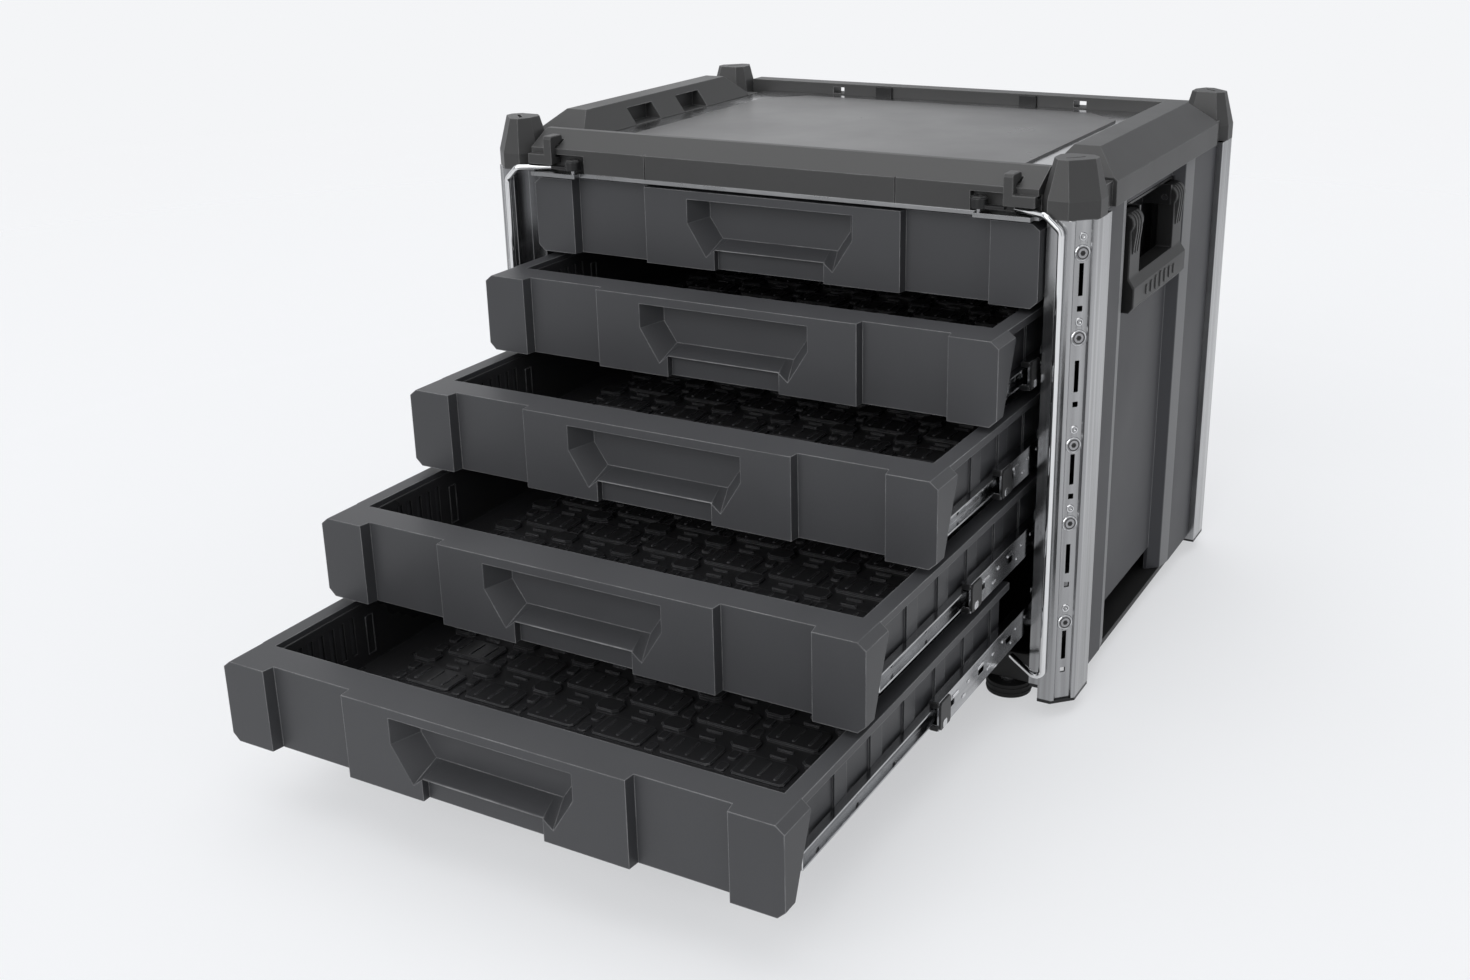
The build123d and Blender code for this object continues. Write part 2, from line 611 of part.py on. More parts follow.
def handle_pocket():
    """Black insert that fills the hole in the right panel, with the pivot ears."""
    y0, y1 = RECESS_CENTRE - POCKET_HALF, RECESS_CENTRE + POCKET_HALF
    wall = POCKET_WALL
    cup = box(POCKET_FLOOR_X, FIELD_X, y0, y1, POCKET_BOTTOM, POCKET_ROOF)
    cup -= box(POCKET_FLOOR_X + wall, FIELD_X + OVER, y0 + wall, y1 - wall,
               POCKET_BOTTOM + wall, POCKET_ROOF - wall)
    for way in (-1, 1):
        y = RECESS_CENTRE + way * EAR_HALF
        y0, y1 = y - EAR_THICKNESS / 2, y + EAR_THICKNESS / 2
        ear = box(POCKET_FLOOR_X + OVER, PIVOT_X + EAR_PROUD, y0, y1,
                  PIVOT_Z - EAR_DROP, POCKET_ROOF - OVER)
        ear -= pin(PIN_RADIUS, (PIVOT_X, y0 - OVER, PIVOT_Z), (PIVOT_X, y1 + OVER, PIVOT_Z))
        cup += ear
    ends = (POCKET_FLOOR_X - OVER, POCKET_FLOOR_X + wall + OVER)
    cup -= pin(POCKET_HOLE, (ends[0], RECESS_CENTRE, PIVOT_Z), (ends[1], RECESS_CENTRE, PIVOT_Z))
    return cup


def pocket_screw():
    """Screw with a round head, in the floor of the right pocket."""
    shank, head, height = POCKET_SCREW
    seat = POCKET_FLOOR_X + POCKET_WALL
    tip = seat - POCKET_SCREW_LENGTH
    screw = pin(shank, (tip, RECESS_CENTRE, PIVOT_Z), (seat, RECESS_CENTRE, PIVOT_Z))
    screw += pin(head, (seat, RECESS_CENTRE, PIVOT_Z), (seat + height, RECESS_CENTRE, PIVOT_Z))
    return screw


def side_handle():
    """Fold-down handle for the right side, hanging at rest."""
    low = POCKET_BOTTOM + HANDLE_RISE
    inner_y = EAR_HALF + EAR_SPACE
    back_x = FIELD_X - HANDLE_BACK
    front_x = WIDTH / 2 - HANDLE_FRONT_IN
    y0, y1 = RECESS_CENTRE - HANDLE_REACH, RECESS_CENTRE + HANDLE_REACH
    face_low, face_high = BAR_FACE
    bar = [(back_x, low + BAR_EDGE), (back_x + BAR_EDGE, low), (front_x - BAR_EDGE, low),
           (front_x, low + face_low), (front_x, low + face_high),
           (front_x - BAR_TOP_SLOPE, low + BAR_HEIGHT), (back_x, low + BAR_HEIGHT)]
    body = along_y(bar, y0, y1)
    for way in (-1, 1):
        ends = sorted((RECESS_CENTRE + way * inner_y, RECESS_CENTRE + way * HANDLE_REACH))
        body += box(back_x, front_x - ARM_SET_IN, *ends, low, PIVOT_Z)
        body += pin(KNUCKLE_RADIUS, (PIVOT_X, ends[0], PIVOT_Z), (PIVOT_X, ends[1], PIVOT_Z))
    for way in (-1, 1):
        ends = sorted((RECESS_CENTRE + way * (inner_y - OVER), RECESS_CENTRE + way * (HANDLE_REACH + OVER)))
        body -= pin(PIN_RADIUS + PIVOT_GAP, (PIVOT_X, ends[0], PIVOT_Z), (PIVOT_X, ends[1], PIVOT_Z))
    return body


def handle_pins():
    pins = []
    for way in (-1, 1):
        ends = sorted((RECESS_CENTRE + way * (EAR_HALF - EAR_THICKNESS / 2),
                       RECESS_CENTRE + way * (HANDLE_REACH - PIN_SET_IN)))
        pins.append(pin(PIN_RADIUS, (PIVOT_X, ends[0], PIVOT_Z), (PIVOT_X, ends[1], PIVOT_Z)))
    return pins


def base_plate():
    """Bottom plate with a front and a rear sill."""
    y = BACK_Y
    plate = box(-LEG_IN, LEG_IN, STEP_Y, y, FOOT_DROP, PLATE_Z)
    for way in (-1, 1):
        plate += side_box(way, LEG_IN - BASE_EDGE, LEG_IN, SHELF_START, -SHELF_START,
                          FOOT_DROP, PLATE_Z + BASE_EDGE_RISE)
        shelf = box(LEG_IN - OVER, BAND_X - PANEL_THICKNESS, SHELF_START, -SHELF_START,
                    FOOT_DROP, PLATE_Z)
        plate += on_side(shelf, way)
    plate += box(-LEG_IN, LEG_IN, STEP_Y, STEP_Y + SILL_THICKNESS, FOOT_DROP, PLATE_Z + SILL_RISE)
    plate += box(-LEG_IN, LEG_IN, y - SILL_THICKNESS, y, FOOT_DROP, PLATE_Z + SILL_RISE)
    for x, y in foot_places():
        plate -= pin(BOLT_RADIUS + FIT, (x, y, 0), (x, y, PLATE_Z + OVER))
    return plate


def foot_places():
    x = WIDTH / 2 - FOOT_INSET_X
    y = DEPTH / 2 - FOOT_INSET_Y
    return [(sx * x, sy * y) for sx in (-1, 1) for sy in (-1, 1)]


def foot_bolt(x, y):
    """Stud with a hexagon nut on the base plate and a collar on the foot."""
    bolt = pin(BOLT_RADIUS, (x, y, FOOT_HEIGHT), (x, y, PLATE_Z + BOLT_RISE))
    bolt += Pos(x, y, FOOT_HEIGHT) * extrude(Circle(BOLT_COLLAR), FOOT_DROP - FOOT_HEIGHT)
    bolt += Pos(x, y, PLATE_Z) * extrude(RegularPolygon(NUT_RADIUS, 6), NUT_HEIGHT)
    return bolt


def post_shoe():
    """Thin foot plate closing the underside of the front right post."""
    outline = [(FACE_X - SHOE_PROUD, FACE_Y - SHOE_PROUD), (FACE_X + POST_FACE, FACE_Y - SHOE_PROUD),
               (SIDE_X + SHOE_PROUD, FACE_Y + POST_CORNER), (SIDE_X + SHOE_PROUD, SIDE_END),
               (LEG_IN + SHOE_SET_IN, SIDE_END), (LEG_IN + SHOE_SET_IN, STEP_Y - SHOE_SET_IN),
               (FACE_X - SHOE_PROUD, STEP_Y - SHOE_SET_IN)]
    return along_z(outline, FOOT_DROP - SHOE_THICKNESS, FOOT_DROP)


def back_panel():
    half = FACE_X - SHEET / 2 - FIT
    panel = box(-half, half, BACK_Y, BACK_Y + BACK_THICKNESS, FOOT_DROP, POST_TOP)
    face = BACK_Y + BACK_THICKNESS
    for n in range(1, BACK_RIBS + 1):
        x = -half + n * 2 * half / (BACK_RIBS + 1)
        panel += box(x - BACK_RIB_HALF, x + BACK_RIB_HALF, face - OVER, face + BACK_RIB_PROUD,
                     FOOT_DROP + BACK_RIB_END, POST_TOP - BACK_RIB_END)
    return panel


def top_plate():
    """Flat plate under the lid, with a forward tab below each latch."""
    plate = box(-LEG_IN, LEG_IN, RAIL_Y, BACK_Y, TOP_PLATE_Z, POST_TOP)
    for side in (-1, 1):
        plate += side_box(side, TAB_IN, TAB_IN + TAB_LENGTH, FACE_Y - TAB_PROUD, RAIL_Y + OVER,
                          TOP_PLATE_Z, POST_TOP)
        notch = box(LEG_X - SHEET, WIDTH, -DEPTH, STEP_Y + SHEET, TOP_PLATE_Z - OVER,
                    POST_TOP + OVER)
        plate -= on_side(notch, side)
    return plate


# ---- lid ----------------------------------------------------------------
def octagon(inset, cut_in):
    """Plan of the front right cap, shrunk by inset."""
    x0, x1 = CAP_IN_X + inset, WIDTH / 2 - inset
    y0, y1 = -DEPTH / 2 + inset, -CAP_IN_Y - inset
    outer = CAP_CORNER - CAP_CORNER_SHRINK * inset
    return [(x0 + cut_in, y0), (x1 - outer, y0), (x1, y0 + outer), (x1, y1 - cut_in),
            (x1 - cut_in, y1), (x0 + cut_in, y1), (x0, y1 - cut_in), (x0, y0 + CAP_LONG_CUT * cut_in)]


def corner_cap():
    """Tall faceted bumper with a slot in its top."""
    band_cut, top_cut = CAP_INNER_CUTS
    base = octagon(0, band_cut)
    band_top = POST_TOP + CAP_BAND
    cap = along_z(base, POST_TOP, band_top)
    low = Plane.XY.offset(band_top) * make_face(Polyline(*base, close=True))
    high = Plane.XY.offset(LID_TOP) * make_face(Polyline(*octagon(CAP_TAPER, top_cut), close=True))
    cap += loft([low, high], ruled=True)
    x, y = WIDTH / 2 - CAP_SIZE / 2, -DEPTH / 2 + CAP_SIZE / 2
    slot = Pos(x, y, LID_TOP) * Rot(0, 0, 45) * Box(*CAP_SLOT)
    return cap - slot


def front_rail():
    top = POST_TOP + RAIL_BAND
    crest = RAIL_Y + RAIL_RUN
    outline = [(RAIL_Y, POST_TOP), (RAIL_Y, top), (crest, top + RAIL_RISE),
               (crest + RAIL_FLAT, top + RAIL_RISE), (crest + RAIL_FLAT, POST_TOP)]
    half = CAP_IN_X - FIT
    rail_body = along_x(outline, -half, half)
    for side in (-1, 1):
        seam = CENTRE_BLOCK / 2 - SEAM_IN
        rail_body -= side_box(side, seam, seam + SEAM_WIDTH, RAIL_Y - OVER, RAIL_Y + SEAM_DEPTH,
                              POST_TOP - OVER, top + SEAM_ABOVE)
        rail_body -= side_box(side, TAB_IN - TAB_SPACE, half + OVER, RAIL_Y - OVER,
                              RAIL_Y + RECESS_BACK, POST_TOP - OVER, POST_TOP + RECESS_TOP)
        stem = ARM_TIP_X - CATCH_PROUD
        rail_body -= side_box(side, stem - OVER, stem + CATCH_STEM + OVER, RAIL_Y - OVER,
                              RAIL_Y + CATCH_HEAD - CATCH_PROUD + OVER, top + OVER, LID_TOP)
    return rail_body


def corner_space(sx, sy):
    """Block that clears a corner cap, for cutting the rails."""
    gap = CAP_SIZE + FIT
    return box(sx * (WIDTH / 2 - gap), sx * WIDTH, sy * (DEPTH / 2 - gap), sy * DEPTH,
               POST_TOP - OVER, LID_TOP + OVER)


def lid_side():
    """Right side rail: low runner, raised faceted block, stacking pockets."""
    step = POST_TOP + RAIL_BAND - RUNNER_DROP
    top = POST_TOP + SIDE_BLOCK_RISE
    outer = WIDTH / 2 - SIDE_BLOCK_IN
    half = SIDE_BLOCK_HALF
    outline = [(SIDE_IN_X, POST_TOP), (outer, POST_TOP), (outer, step),
               (outer - SIDE_BLOCK_SLOPE, top), (SIDE_IN_X + SIDE_BLOCK_LEAN, top),
               (SIDE_IN_X, step)]
    block = along_y(outline, -half, half)
    floor = POST_TOP + LID_FLOOR_RISE + LID_FLOOR_THICKNESS
    for way in (-1, 1):
        end = way * (half + OVER)
        slope = [(end, POST_TOP + RAIL_BAND), (end, top + OVER),
                 (way * (half - SIDE_BLOCK_END - SIDE_BLOCK_LIP), top + OVER),
                 (way * (half - SIDE_BLOCK_END), top), (way * half, step + SIDE_BLOCK_LIP)]
        block -= along_x(slope, SIDE_IN_X - OVER, WIDTH)
        place = way * STACK_PLACE
        block -= box(SIDE_IN_X - OVER, SIDE_IN_X + STACK_DEPTH, place - STACK_HALF,
                     place + STACK_HALF, floor, top - STACK_ROOF)
    side = block + box(SIDE_IN_X, BAND_X, -CAP_IN_Y, CAP_IN_Y, POST_TOP, step)
    return side - corner_space(1, -1) - corner_space(1, 1)


def lid_frame():
    """Lid moulding: front and rear rails, tied by the ledges of the lid floor."""
    half = CAP_IN_X - FIT
    rear = box(-half, half, REAR_RAIL_Y, DEPTH / 2 - REAR_SET_IN, POST_TOP, POST_TOP + REAR_RISE)
    slot_low, slot_high = (POST_TOP + level for level in REAR_SLOT_LEVELS)
    frame = front_rail()
    for side in (-1, 1):
        rear -= side_box(side, *REAR_SLOT, REAR_RAIL_Y - OVER, DEPTH, slot_low, slot_high)
        frame += side_box(side, SIDE_IN_X - LEDGE_WIDTH, SIDE_IN_X, RAIL_Y + RAIL_RUN,
                          REAR_RAIL_Y + OVER, POST_TOP, POST_TOP + LID_FLOOR_RISE)
    frame += rear
    for sx in (-1, 1):
        for sy in (-1, 1):
            frame -= corner_space(sx, sy)
    return frame


def lid_floor():
    z = POST_TOP + LID_FLOOR_RISE
    half = SIDE_IN_X - FIT
    return box(-half, half, LID_FLOOR_Y, REAR_RAIL_Y - FIT, z, z + LID_FLOOR_THICKNESS)


def label_panel():
    """Plain panel with cut corners on the lid floor."""
    z = POST_TOP + LID_FLOOR_RISE + LID_FLOOR_THICKNESS
    x, cut = SIDE_IN_X - LABEL_SIDE_GAP, LABEL_CUT
    y0, y1 = LID_FLOOR_Y + LABEL_FRONT_GAP, REAR_RAIL_Y - LABEL_REAR_GAP
    outline = [(-x + cut, y0), (x - cut, y0), (x, y0 + cut), (x, y1 - cut), (x - cut, y1),
               (-x + cut, y1), (-x, y1 - cut), (-x, y0 + cut)]
    return along_z(outline, z, z + LABEL_THICKNESS)


def rear_clips():
    clips = []
    for x in (-CLIP_PLACE, CLIP_PLACE):
        z = POST_TOP + REAR_RISE - CLIP_DROP
        clips.append(box(x - CLIP_HALF, x + CLIP_HALF, REAR_RAIL_Y - CLIP_THICKNESS, REAR_RAIL_Y,
                         z - CLIP_HEIGHT, z))
    return clips


# ---- latches ------------------------------------------------------------
def latch_rod():
    """Bent wire rod on the right, in front of the post, with an arm at each end."""
    low = PLATE_Z + FOOT_RISE
    inwards, forwards, down = ARM_BEND
    foot_in, foot_forward = FOOT_BEND
    end_in, end_back, end_up = FOOT_ARM
    points = [(ARM_TIP_X, ROD_Y + ARM_BACK, ARM_Z), (ROD_X - inwards, ROD_Y - forwards, ARM_Z),
              (ROD_X, ROD_Y, ARM_Z - down), (ROD_X, ROD_Y, low),
              (ROD_X - foot_in, ROD_Y - foot_forward, low),
              (ROD_X - end_in, ROD_Y + end_back, low + end_up)]
    path = FilletPolyline(*points, radius=BEND_RADII)
    start = Plane(origin=points[0], z_dir=Vector(*points[1]) - Vector(*points[0]))
    return sweep(start * Circle(ROD_RADIUS), path=path)


def latch_lever():
    """Small lever with a round thumb button, beside the rod's upper arm."""
    tip = ARM_TIP_X - ROD_RADIUS - TIP_GAP
    bar = box(LEVER_X - LEVER_HEEL, tip, LEVER_Y - LEVER_HALF, LEVER_Y + LEVER_HALF,
              LEVER_Z, LEVER_Z + LEVER_THICKNESS)
    button = pin(BUTTON_RADIUS, (LEVER_X, LEVER_Y, LEVER_Z), (LEVER_X, LEVER_Y, LEVER_Z + BUTTON_HEIGHT))
    hole = pin(LEVER_PIN + PIVOT_GAP, (LEVER_X, LEVER_Y, LEVER_Z - OVER),
               (LEVER_X, LEVER_Y, LEVER_Z + BUTTON_HEIGHT + OVER))
    return bar + button - hole


def lever_pin():
    top = LEVER_Z + BUTTON_HEIGHT + OVER
    return pin(LEVER_PIN, (LEVER_X, LEVER_Y, POST_TOP), (LEVER_X, LEVER_Y, top))


def catch_post():
    """Upright hook in front of the rail, for the box that stands on top."""
    stem = ARM_TIP_X - CATCH_PROUD
    front, back = RAIL_Y - CATCH_PROUD, RAIL_Y
    head = POST_TOP + RAIL_BAND + HEAD_RISE
    top = head + HEAD_HEIGHT
    tip = front + CATCH_HEAD
    small, large = HEAD_CHAMFERS
    outline = [(front, CATCH_LOW), (back, CATCH_LOW), (back, head - small),
               (tip, head - small + HEAD_TAPER), (tip, top - small), (tip - large, top),
               (front + small, top), (front, top - large)]
    hook = along_x(outline, stem, stem + CATCH_STEM)
    base_end = CAP_IN_X - 2 * FIT
    outer_foot, inner_foot = CATCH_FEET
    hook += box(stem, base_end, front, back, CATCH_LOW, CATCH_LOW + outer_foot)
    hook += box(stem, base_end, back, RAIL_Y + RECESS_BACK, CATCH_LOW, CATCH_LOW + inner_foot)
    return hook


# ---- write every piece --------------------------------------------------
def write(name, shape):
    export_step(shape, "parts/" + name + ".step")


def write_drawers():
    front_and_box = drawer_front() + drawer_box()
    tray = liner()
    rails = slide_rails()
    for index in range(DRAWER_COUNT):
        name = str(index + 1)
        pull = REST_PULL[index]
        top = drawer_top(index)
        write("drawer_" + name, Pos(0, FRONT_Y - pull, top) * front_and_box)
        write("drawer_liner_" + name, Pos(0, FRONT_Y - pull, top) * tray)
        shifts = {"outer": 0.0, "middle": pull / 2, "inner": pull}
        for kind, piece in zip(shifts, rails):
            placed = Pos(0, -shifts[kind], top - SLIDE_DROP) * piece
            write("slide_" + kind + "_" + name, solids_of(other_side(placed), placed))


def write_casing():
    posts = quarters(corner_post())
    caps = quarters(corner_cap())
    for corner in posts:
        write("post_" + corner, posts[corner])
        write("corner_cap_" + corner, caps[corner])
    screws = solids_of(*[corner_screw(height) for height in screw_levels()])
    write("post_screws", solids_of(*quarters(screws).values()))
    write("post_shoes", solids_of(*quarters(post_shoe()).values()))
    write("base_plate", base_plate())
    write("back_panel", back_panel())
    write("top_plate", top_plate())
    feet = [pin(FOOT_RADIUS, (x, y, 0), (x, y, FOOT_HEIGHT)) for x, y in foot_places()]
    write("rubber_feet", solids_of(*feet))
    write("foot_bolts", solids_of(*[foot_bolt(x, y) for x, y in foot_places()]))
    write("pocket_screws", solids_of(other_side(pocket_screw()), pocket_screw()))
    pins = solids_of(*handle_pins())
    write("handle_pins", solids_of(other_side(pins), pins))
    for name, side in SIDES.items():
        write("side_panel_" + name, on_side(side_panel(), side))
        write("handle_pocket_" + name, on_side(handle_pocket(), side))
        write("side_handle_" + name, on_side(side_handle(), side))


def write_lid():
    write("lid_frame", lid_frame())
    for name, side in SIDES.items():
        write("lid_side_" + name, on_side(lid_side(), side))
    write("lid_floor", lid_floor())
    write("label_panel", label_panel())
    write("rear_clips", solids_of(*rear_clips()))


def write_latches():
    for name, side in SIDES.items():
        write("latch_rod_" + name, on_side(latch_rod(), side))
        write("latch_lever_" + name, on_side(latch_lever(), side))
    write("lever_pins", solids_of(other_side(lever_pin()), lever_pin()))
    write("catch_posts", solids_of(other_side(catch_post()), catch_post()))


os.makedirs("parts", exist_ok=True)
write_casing()
write_lid()
write_latches()
write_drawers()
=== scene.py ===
import math

import bmesh
import bpy
from mathutils import Matrix, Vector


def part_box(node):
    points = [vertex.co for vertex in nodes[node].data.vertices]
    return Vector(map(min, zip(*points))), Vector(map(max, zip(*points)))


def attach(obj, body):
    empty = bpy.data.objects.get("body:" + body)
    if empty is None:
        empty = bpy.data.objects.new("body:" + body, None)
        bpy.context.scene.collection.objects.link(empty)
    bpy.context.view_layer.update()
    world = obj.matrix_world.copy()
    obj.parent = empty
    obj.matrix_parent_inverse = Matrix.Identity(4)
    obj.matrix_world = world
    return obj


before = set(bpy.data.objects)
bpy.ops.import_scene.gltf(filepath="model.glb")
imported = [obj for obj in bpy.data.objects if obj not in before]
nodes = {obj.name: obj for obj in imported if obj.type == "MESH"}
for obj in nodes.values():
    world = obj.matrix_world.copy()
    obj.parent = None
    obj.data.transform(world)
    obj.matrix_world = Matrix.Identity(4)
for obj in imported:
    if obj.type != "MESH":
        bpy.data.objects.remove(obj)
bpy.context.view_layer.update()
MM = 0.001
UP = (0, 0, 1)

# ---- places taken from the CAD model, in millimetres ---------------------
DRAWERS = range(1, 6)
SIDES = {"left": -1, "right": 1}
CORNERS = [(x, y) for x in (-1, 1) for y in (-1, 1)]
LINER_WALL = 1.6
INNER_FLANGE = 5.0                    # width of an inner rail
SLIDE_SHEET = 1.2
STRIP_X, STRIP_Y = 212.53, -160.03    # middle of the sunk strip's sheet, front right post
STRIP_OUT = 0.8                       # from there to the strip's outer face
SOCKET_OUT = 1.66                     # from there to just under the top of a screw's head
SCREW_LEVELS = (67.0, 135.6, 187.8, 256.4, 308.6)
DIMPLE_RISE = 9.9                     # of the dimples above the post screws
PIVOT_X, PIVOT_Z = 209.0, 307.0       # pivot of the right handle
HANDLE_MIDDLE = -10.0
KNUCKLE_RADIUS = 7.5
ARM_MIDDLES = (-49.0, 49.0)           # arms of a handle, from its middle
BUTTON_X, BUTTON_Y, BUTTON_TOP = 149.2, -166.0, 337.3
FOOT_RADIUS = 15.0


def corners(node):
    """Lowest and highest corners of a CAD node, in millimetres."""
    low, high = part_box(node)
    return Vector(low) / MM, Vector(high) / MM


# ---- shader nodes ---------------------------------------------------------
COLOUR_A, COLOUR_B, COLOUR_OUT = 6, 7, 2    # colour sockets of a Mix node
EDGE_SAMPLES = 4
EDGE_SPAN = (1.0, 0.86)                     # cosines between rounded and flat normals
SLOPE_RISE, SLOPE_FALL = (0.08, 0.15), (0.25, 0.40)    # where the mask of the painted slope highlight starts and ends


def noise(tree, coords, scale, detail=3.0, rough=0.55, stretch=None):
    """Noise over the surface; a small number in stretch draws it out along that axis."""
    if stretch:
        mapping = tree.nodes.new("ShaderNodeMapping")
        mapping.inputs["Scale"].default_value = stretch
        tree.links.new(coords, mapping.inputs["Vector"])
        coords = mapping.outputs["Vector"]
    node = tree.nodes.new("ShaderNodeTexNoise")
    node.inputs["Scale"].default_value = scale
    node.inputs["Detail"].default_value = detail
    node.inputs["Roughness"].default_value = rough
    tree.links.new(coords, node.inputs["Vector"])
    return node.outputs["Fac"]


def remap(tree, value, span, low=0.0, high=1.0):
    """Maps value from span to low and high, and holds it there outside span."""
    node = tree.nodes.new("ShaderNodeMapRange")
    for socket, number in zip(("From Min", "From Max", "To Min", "To Max"), (*span, low, high)):
        node.inputs[socket].default_value = number
    tree.links.new(value, node.inputs["Value"])
    return node.outputs["Result"]


def maths(tree, operation, *values):
    """Result of a Math node; each value is a number or a socket."""
    node = tree.nodes.new("ShaderNodeMath")
    node.operation = operation
    for place, value in enumerate(values):
        if isinstance(value, bpy.types.NodeSocket):
            tree.links.new(value, node.inputs[place])
        else:
            node.inputs[place].default_value = value
    return node.outputs[0]


def mixed(tree, factor, a, b):
    """Colour between a and b; each is a colour or a socket."""
    node = tree.nodes.new("ShaderNodeMix")
    node.data_type = "RGBA"
    tree.links.new(factor, node.inputs["Factor"])
    for value, place in ((a, COLOUR_A), (b, COLOUR_B)):
        if isinstance(value, bpy.types.NodeSocket):
            tree.links.new(value, node.inputs[place])
        else:
            node.inputs[place].default_value = (*value, 1)
    return node.outputs[COLOUR_OUT]


def mixed_shader(tree, factor, one, two):
    """Shader one where the factor is 0 and two where it is 1."""
    node = tree.nodes.new("ShaderNodeMixShader")
    tree.links.new(factor, node.inputs["Fac"])
    tree.links.new(one, node.inputs[1])
    tree.links.new(two, node.inputs[2])
    return node.outputs[0]


def bump(tree, shader, height, strength, distance):
    node = tree.nodes.new("ShaderNodeBump")
    node.inputs["Strength"].default_value = strength
    node.inputs["Distance"].default_value = distance
    tree.links.new(height, node.inputs["Height"])
    tree.links.new(node.outputs["Normal"], shader.inputs["Normal"])


def edge_mask(tree, radius):
    """High on edges, from how far a rounded normal leans from the flat one."""
    rounded = tree.nodes.new("ShaderNodeBevel")
    rounded.samples = EDGE_SAMPLES
    rounded.inputs["Radius"].default_value = radius
    flat_normal = tree.nodes.new("ShaderNodeNewGeometry")
    dot = tree.nodes.new("ShaderNodeVectorMath")
    dot.operation = "DOT_PRODUCT"
    tree.links.new(rounded.outputs["Normal"], dot.inputs[0])
    tree.links.new(flat_normal.outputs["Normal"], dot.inputs[1])
    return remap(tree, dot.outputs["Value"], EDGE_SPAN)


def slope_highlight_mask(tree):
    """High on faces that turn or lean a little to the front or back, where a highlight is painted."""
    coords = tree.nodes.new("ShaderNodeTexCoord")
    split = tree.nodes.new("ShaderNodeSeparateXYZ")
    tree.links.new(coords.outputs["Normal"], split.inputs[0])
    size = maths(tree, "ABSOLUTE", split.outputs["Y"])
    rise = remap(tree, size, SLOPE_RISE)
    fall = remap(tree, size, SLOPE_FALL, low=1.0, high=0.0)
    return maths(tree, "MULTIPLY", rise, fall)


def light_ray(tree, *kinds):
    """1 for rays of these kinds, else 0."""
    path = tree.nodes.new("ShaderNodeLightPath")
    result = path.outputs[kinds[0]]
    for kind in kinds[1:]:
        result = maths(tree, "MAXIMUM", result, path.outputs[kind])
    return result


# ---- materials ------------------------------------------------------------
PLASTIC, METAL = 0.0, 1.0               # values of Metallic
NOISE_SPAN = (0.3, 0.7)                 # where most of a noise's values lie
BROAD_SCALE = 9.0                       # slow changes of shade over plastic
DARK_SHADE, LIGHT_SHADE = 0.91, 1.08
SPECK_SPAN, SPECK_SHARE, SPECK_SHADE = (0.35, 0.68), 0.14, 1.5
PATCH_SCALE, PATCH_SPAN, PATCH_LEAST = 60.0, (0.38, 0.62), 0.45    # the painted edge highlight comes and goes in patches
ROUGH_CHANGE = 0.05
GRAIN_STRENGTH = 0.3
CLOUD_SCALE, CLOUD_SPAN = 45.0, (0.35, 0.65)    # slow changes of shade over metal
LINE_SHADE = 0.62
METAL_SMOOTHEST, METAL_ROUGHEST = 0.8, 1.25     # shares of a metal's roughness
LINE_STRENGTH = 0.25


def new_material(name, metallic, roughness, specular=0.5):
    """Material, its tree, its shader with the uniform values set, and object coordinates."""
    mat = bpy.data.materials.new(name)
    mat.use_nodes = True
    tree = mat.node_tree
    shader = tree.nodes["Principled BSDF"]
    shader.inputs["Metallic"].default_value = metallic
    shader.inputs["Roughness"].default_value = roughness
    shader.inputs["Specular IOR Level"].default_value = specular
    coords = tree.nodes.new("ShaderNodeTexCoord")
    return mat, tree, shader, coords.outputs["Object"]


def shaded(colour, share):
    return tuple(c * share for c in colour)


def moulded_plastic(name, colour, rough, edge_highlight, grain=1500.0, depth=0.00006, edge=0.0009,
                    slope_highlight_colour=None, specular=0.32):
    """Moulded plastic: fine grain, slow changes of shade, painted highlights on rounded edges."""
    mat, tree, shader, coords = new_material(name, PLASTIC, rough, specular)
    broad = noise(tree, coords, BROAD_SCALE, detail=4.0)
    fine = noise(tree, coords, grain, detail=2.0)
    base = mixed(tree, remap(tree, broad, NOISE_SPAN), shaded(colour, DARK_SHADE),
                 shaded(colour, LIGHT_SHADE))
    speck = remap(tree, fine, SPECK_SPAN, high=SPECK_SHARE)
    base = mixed(tree, speck, base, shaded(colour, SPECK_SHADE))
    # Painted highlight on faces that lean a little to the front or back.
    if slope_highlight_colour:
        base = mixed(tree, slope_highlight_mask(tree), base, slope_highlight_colour)
    patch = remap(tree, noise(tree, coords, PATCH_SCALE), PATCH_SPAN, low=PATCH_LEAST)
    # Painted highlight: rounded edges are lightened towards the highlight colour, in patches.
    base = mixed(tree, maths(tree, "MULTIPLY", edge_mask(tree, edge), patch), base, edge_highlight)
    tree.links.new(base, shader.inputs["Base Color"])
    uneven = remap(tree, broad, NOISE_SPAN, rough - ROUGH_CHANGE, rough + ROUGH_CHANGE)
    tree.links.new(uneven, shader.inputs["Roughness"])
    bump(tree, shader, fine, GRAIN_STRENGTH, depth)
    return mat


def drawn_metal(name, colour, rough, stretch, depth=0.00002, spots=0.06, lines=420.0, contrast=0.25):
    """Rolled or drawn metal: darker lines along the run, slow changes of shade and roughness."""
    mat, tree, shader, coords = new_material(name, METAL, rough)
    streak = noise(tree, coords, lines, detail=2.0, rough=0.5, stretch=stretch)
    cloud = noise(tree, coords, CLOUD_SCALE)
    base = mixed(tree, remap(tree, cloud, CLOUD_SPAN), shaded(colour, 1 - spots),
                 shaded(colour, 1 + spots))
    line = remap(tree, streak, NOISE_SPAN, high=contrast)
    base = mixed(tree, line, base, shaded(colour, LINE_SHADE))
    tree.links.new(base, shader.inputs["Base Color"])
    uneven = remap(tree, cloud, NOISE_SPAN, rough * METAL_SMOOTHEST, rough * METAL_ROUGHEST)
    tree.links.new(uneven, shader.inputs["Roughness"])
    bump(tree, shader, streak, LINE_STRENGTH, depth)
    return mat


ALONG_X = (0.02, 1.0, 1.0)
ALONG_Y = (1.0, 0.02, 1.0)
ALONG_Z = (1.0, 1.0, 0.02)
ROUND = (1.0, 1.0, 1.0)
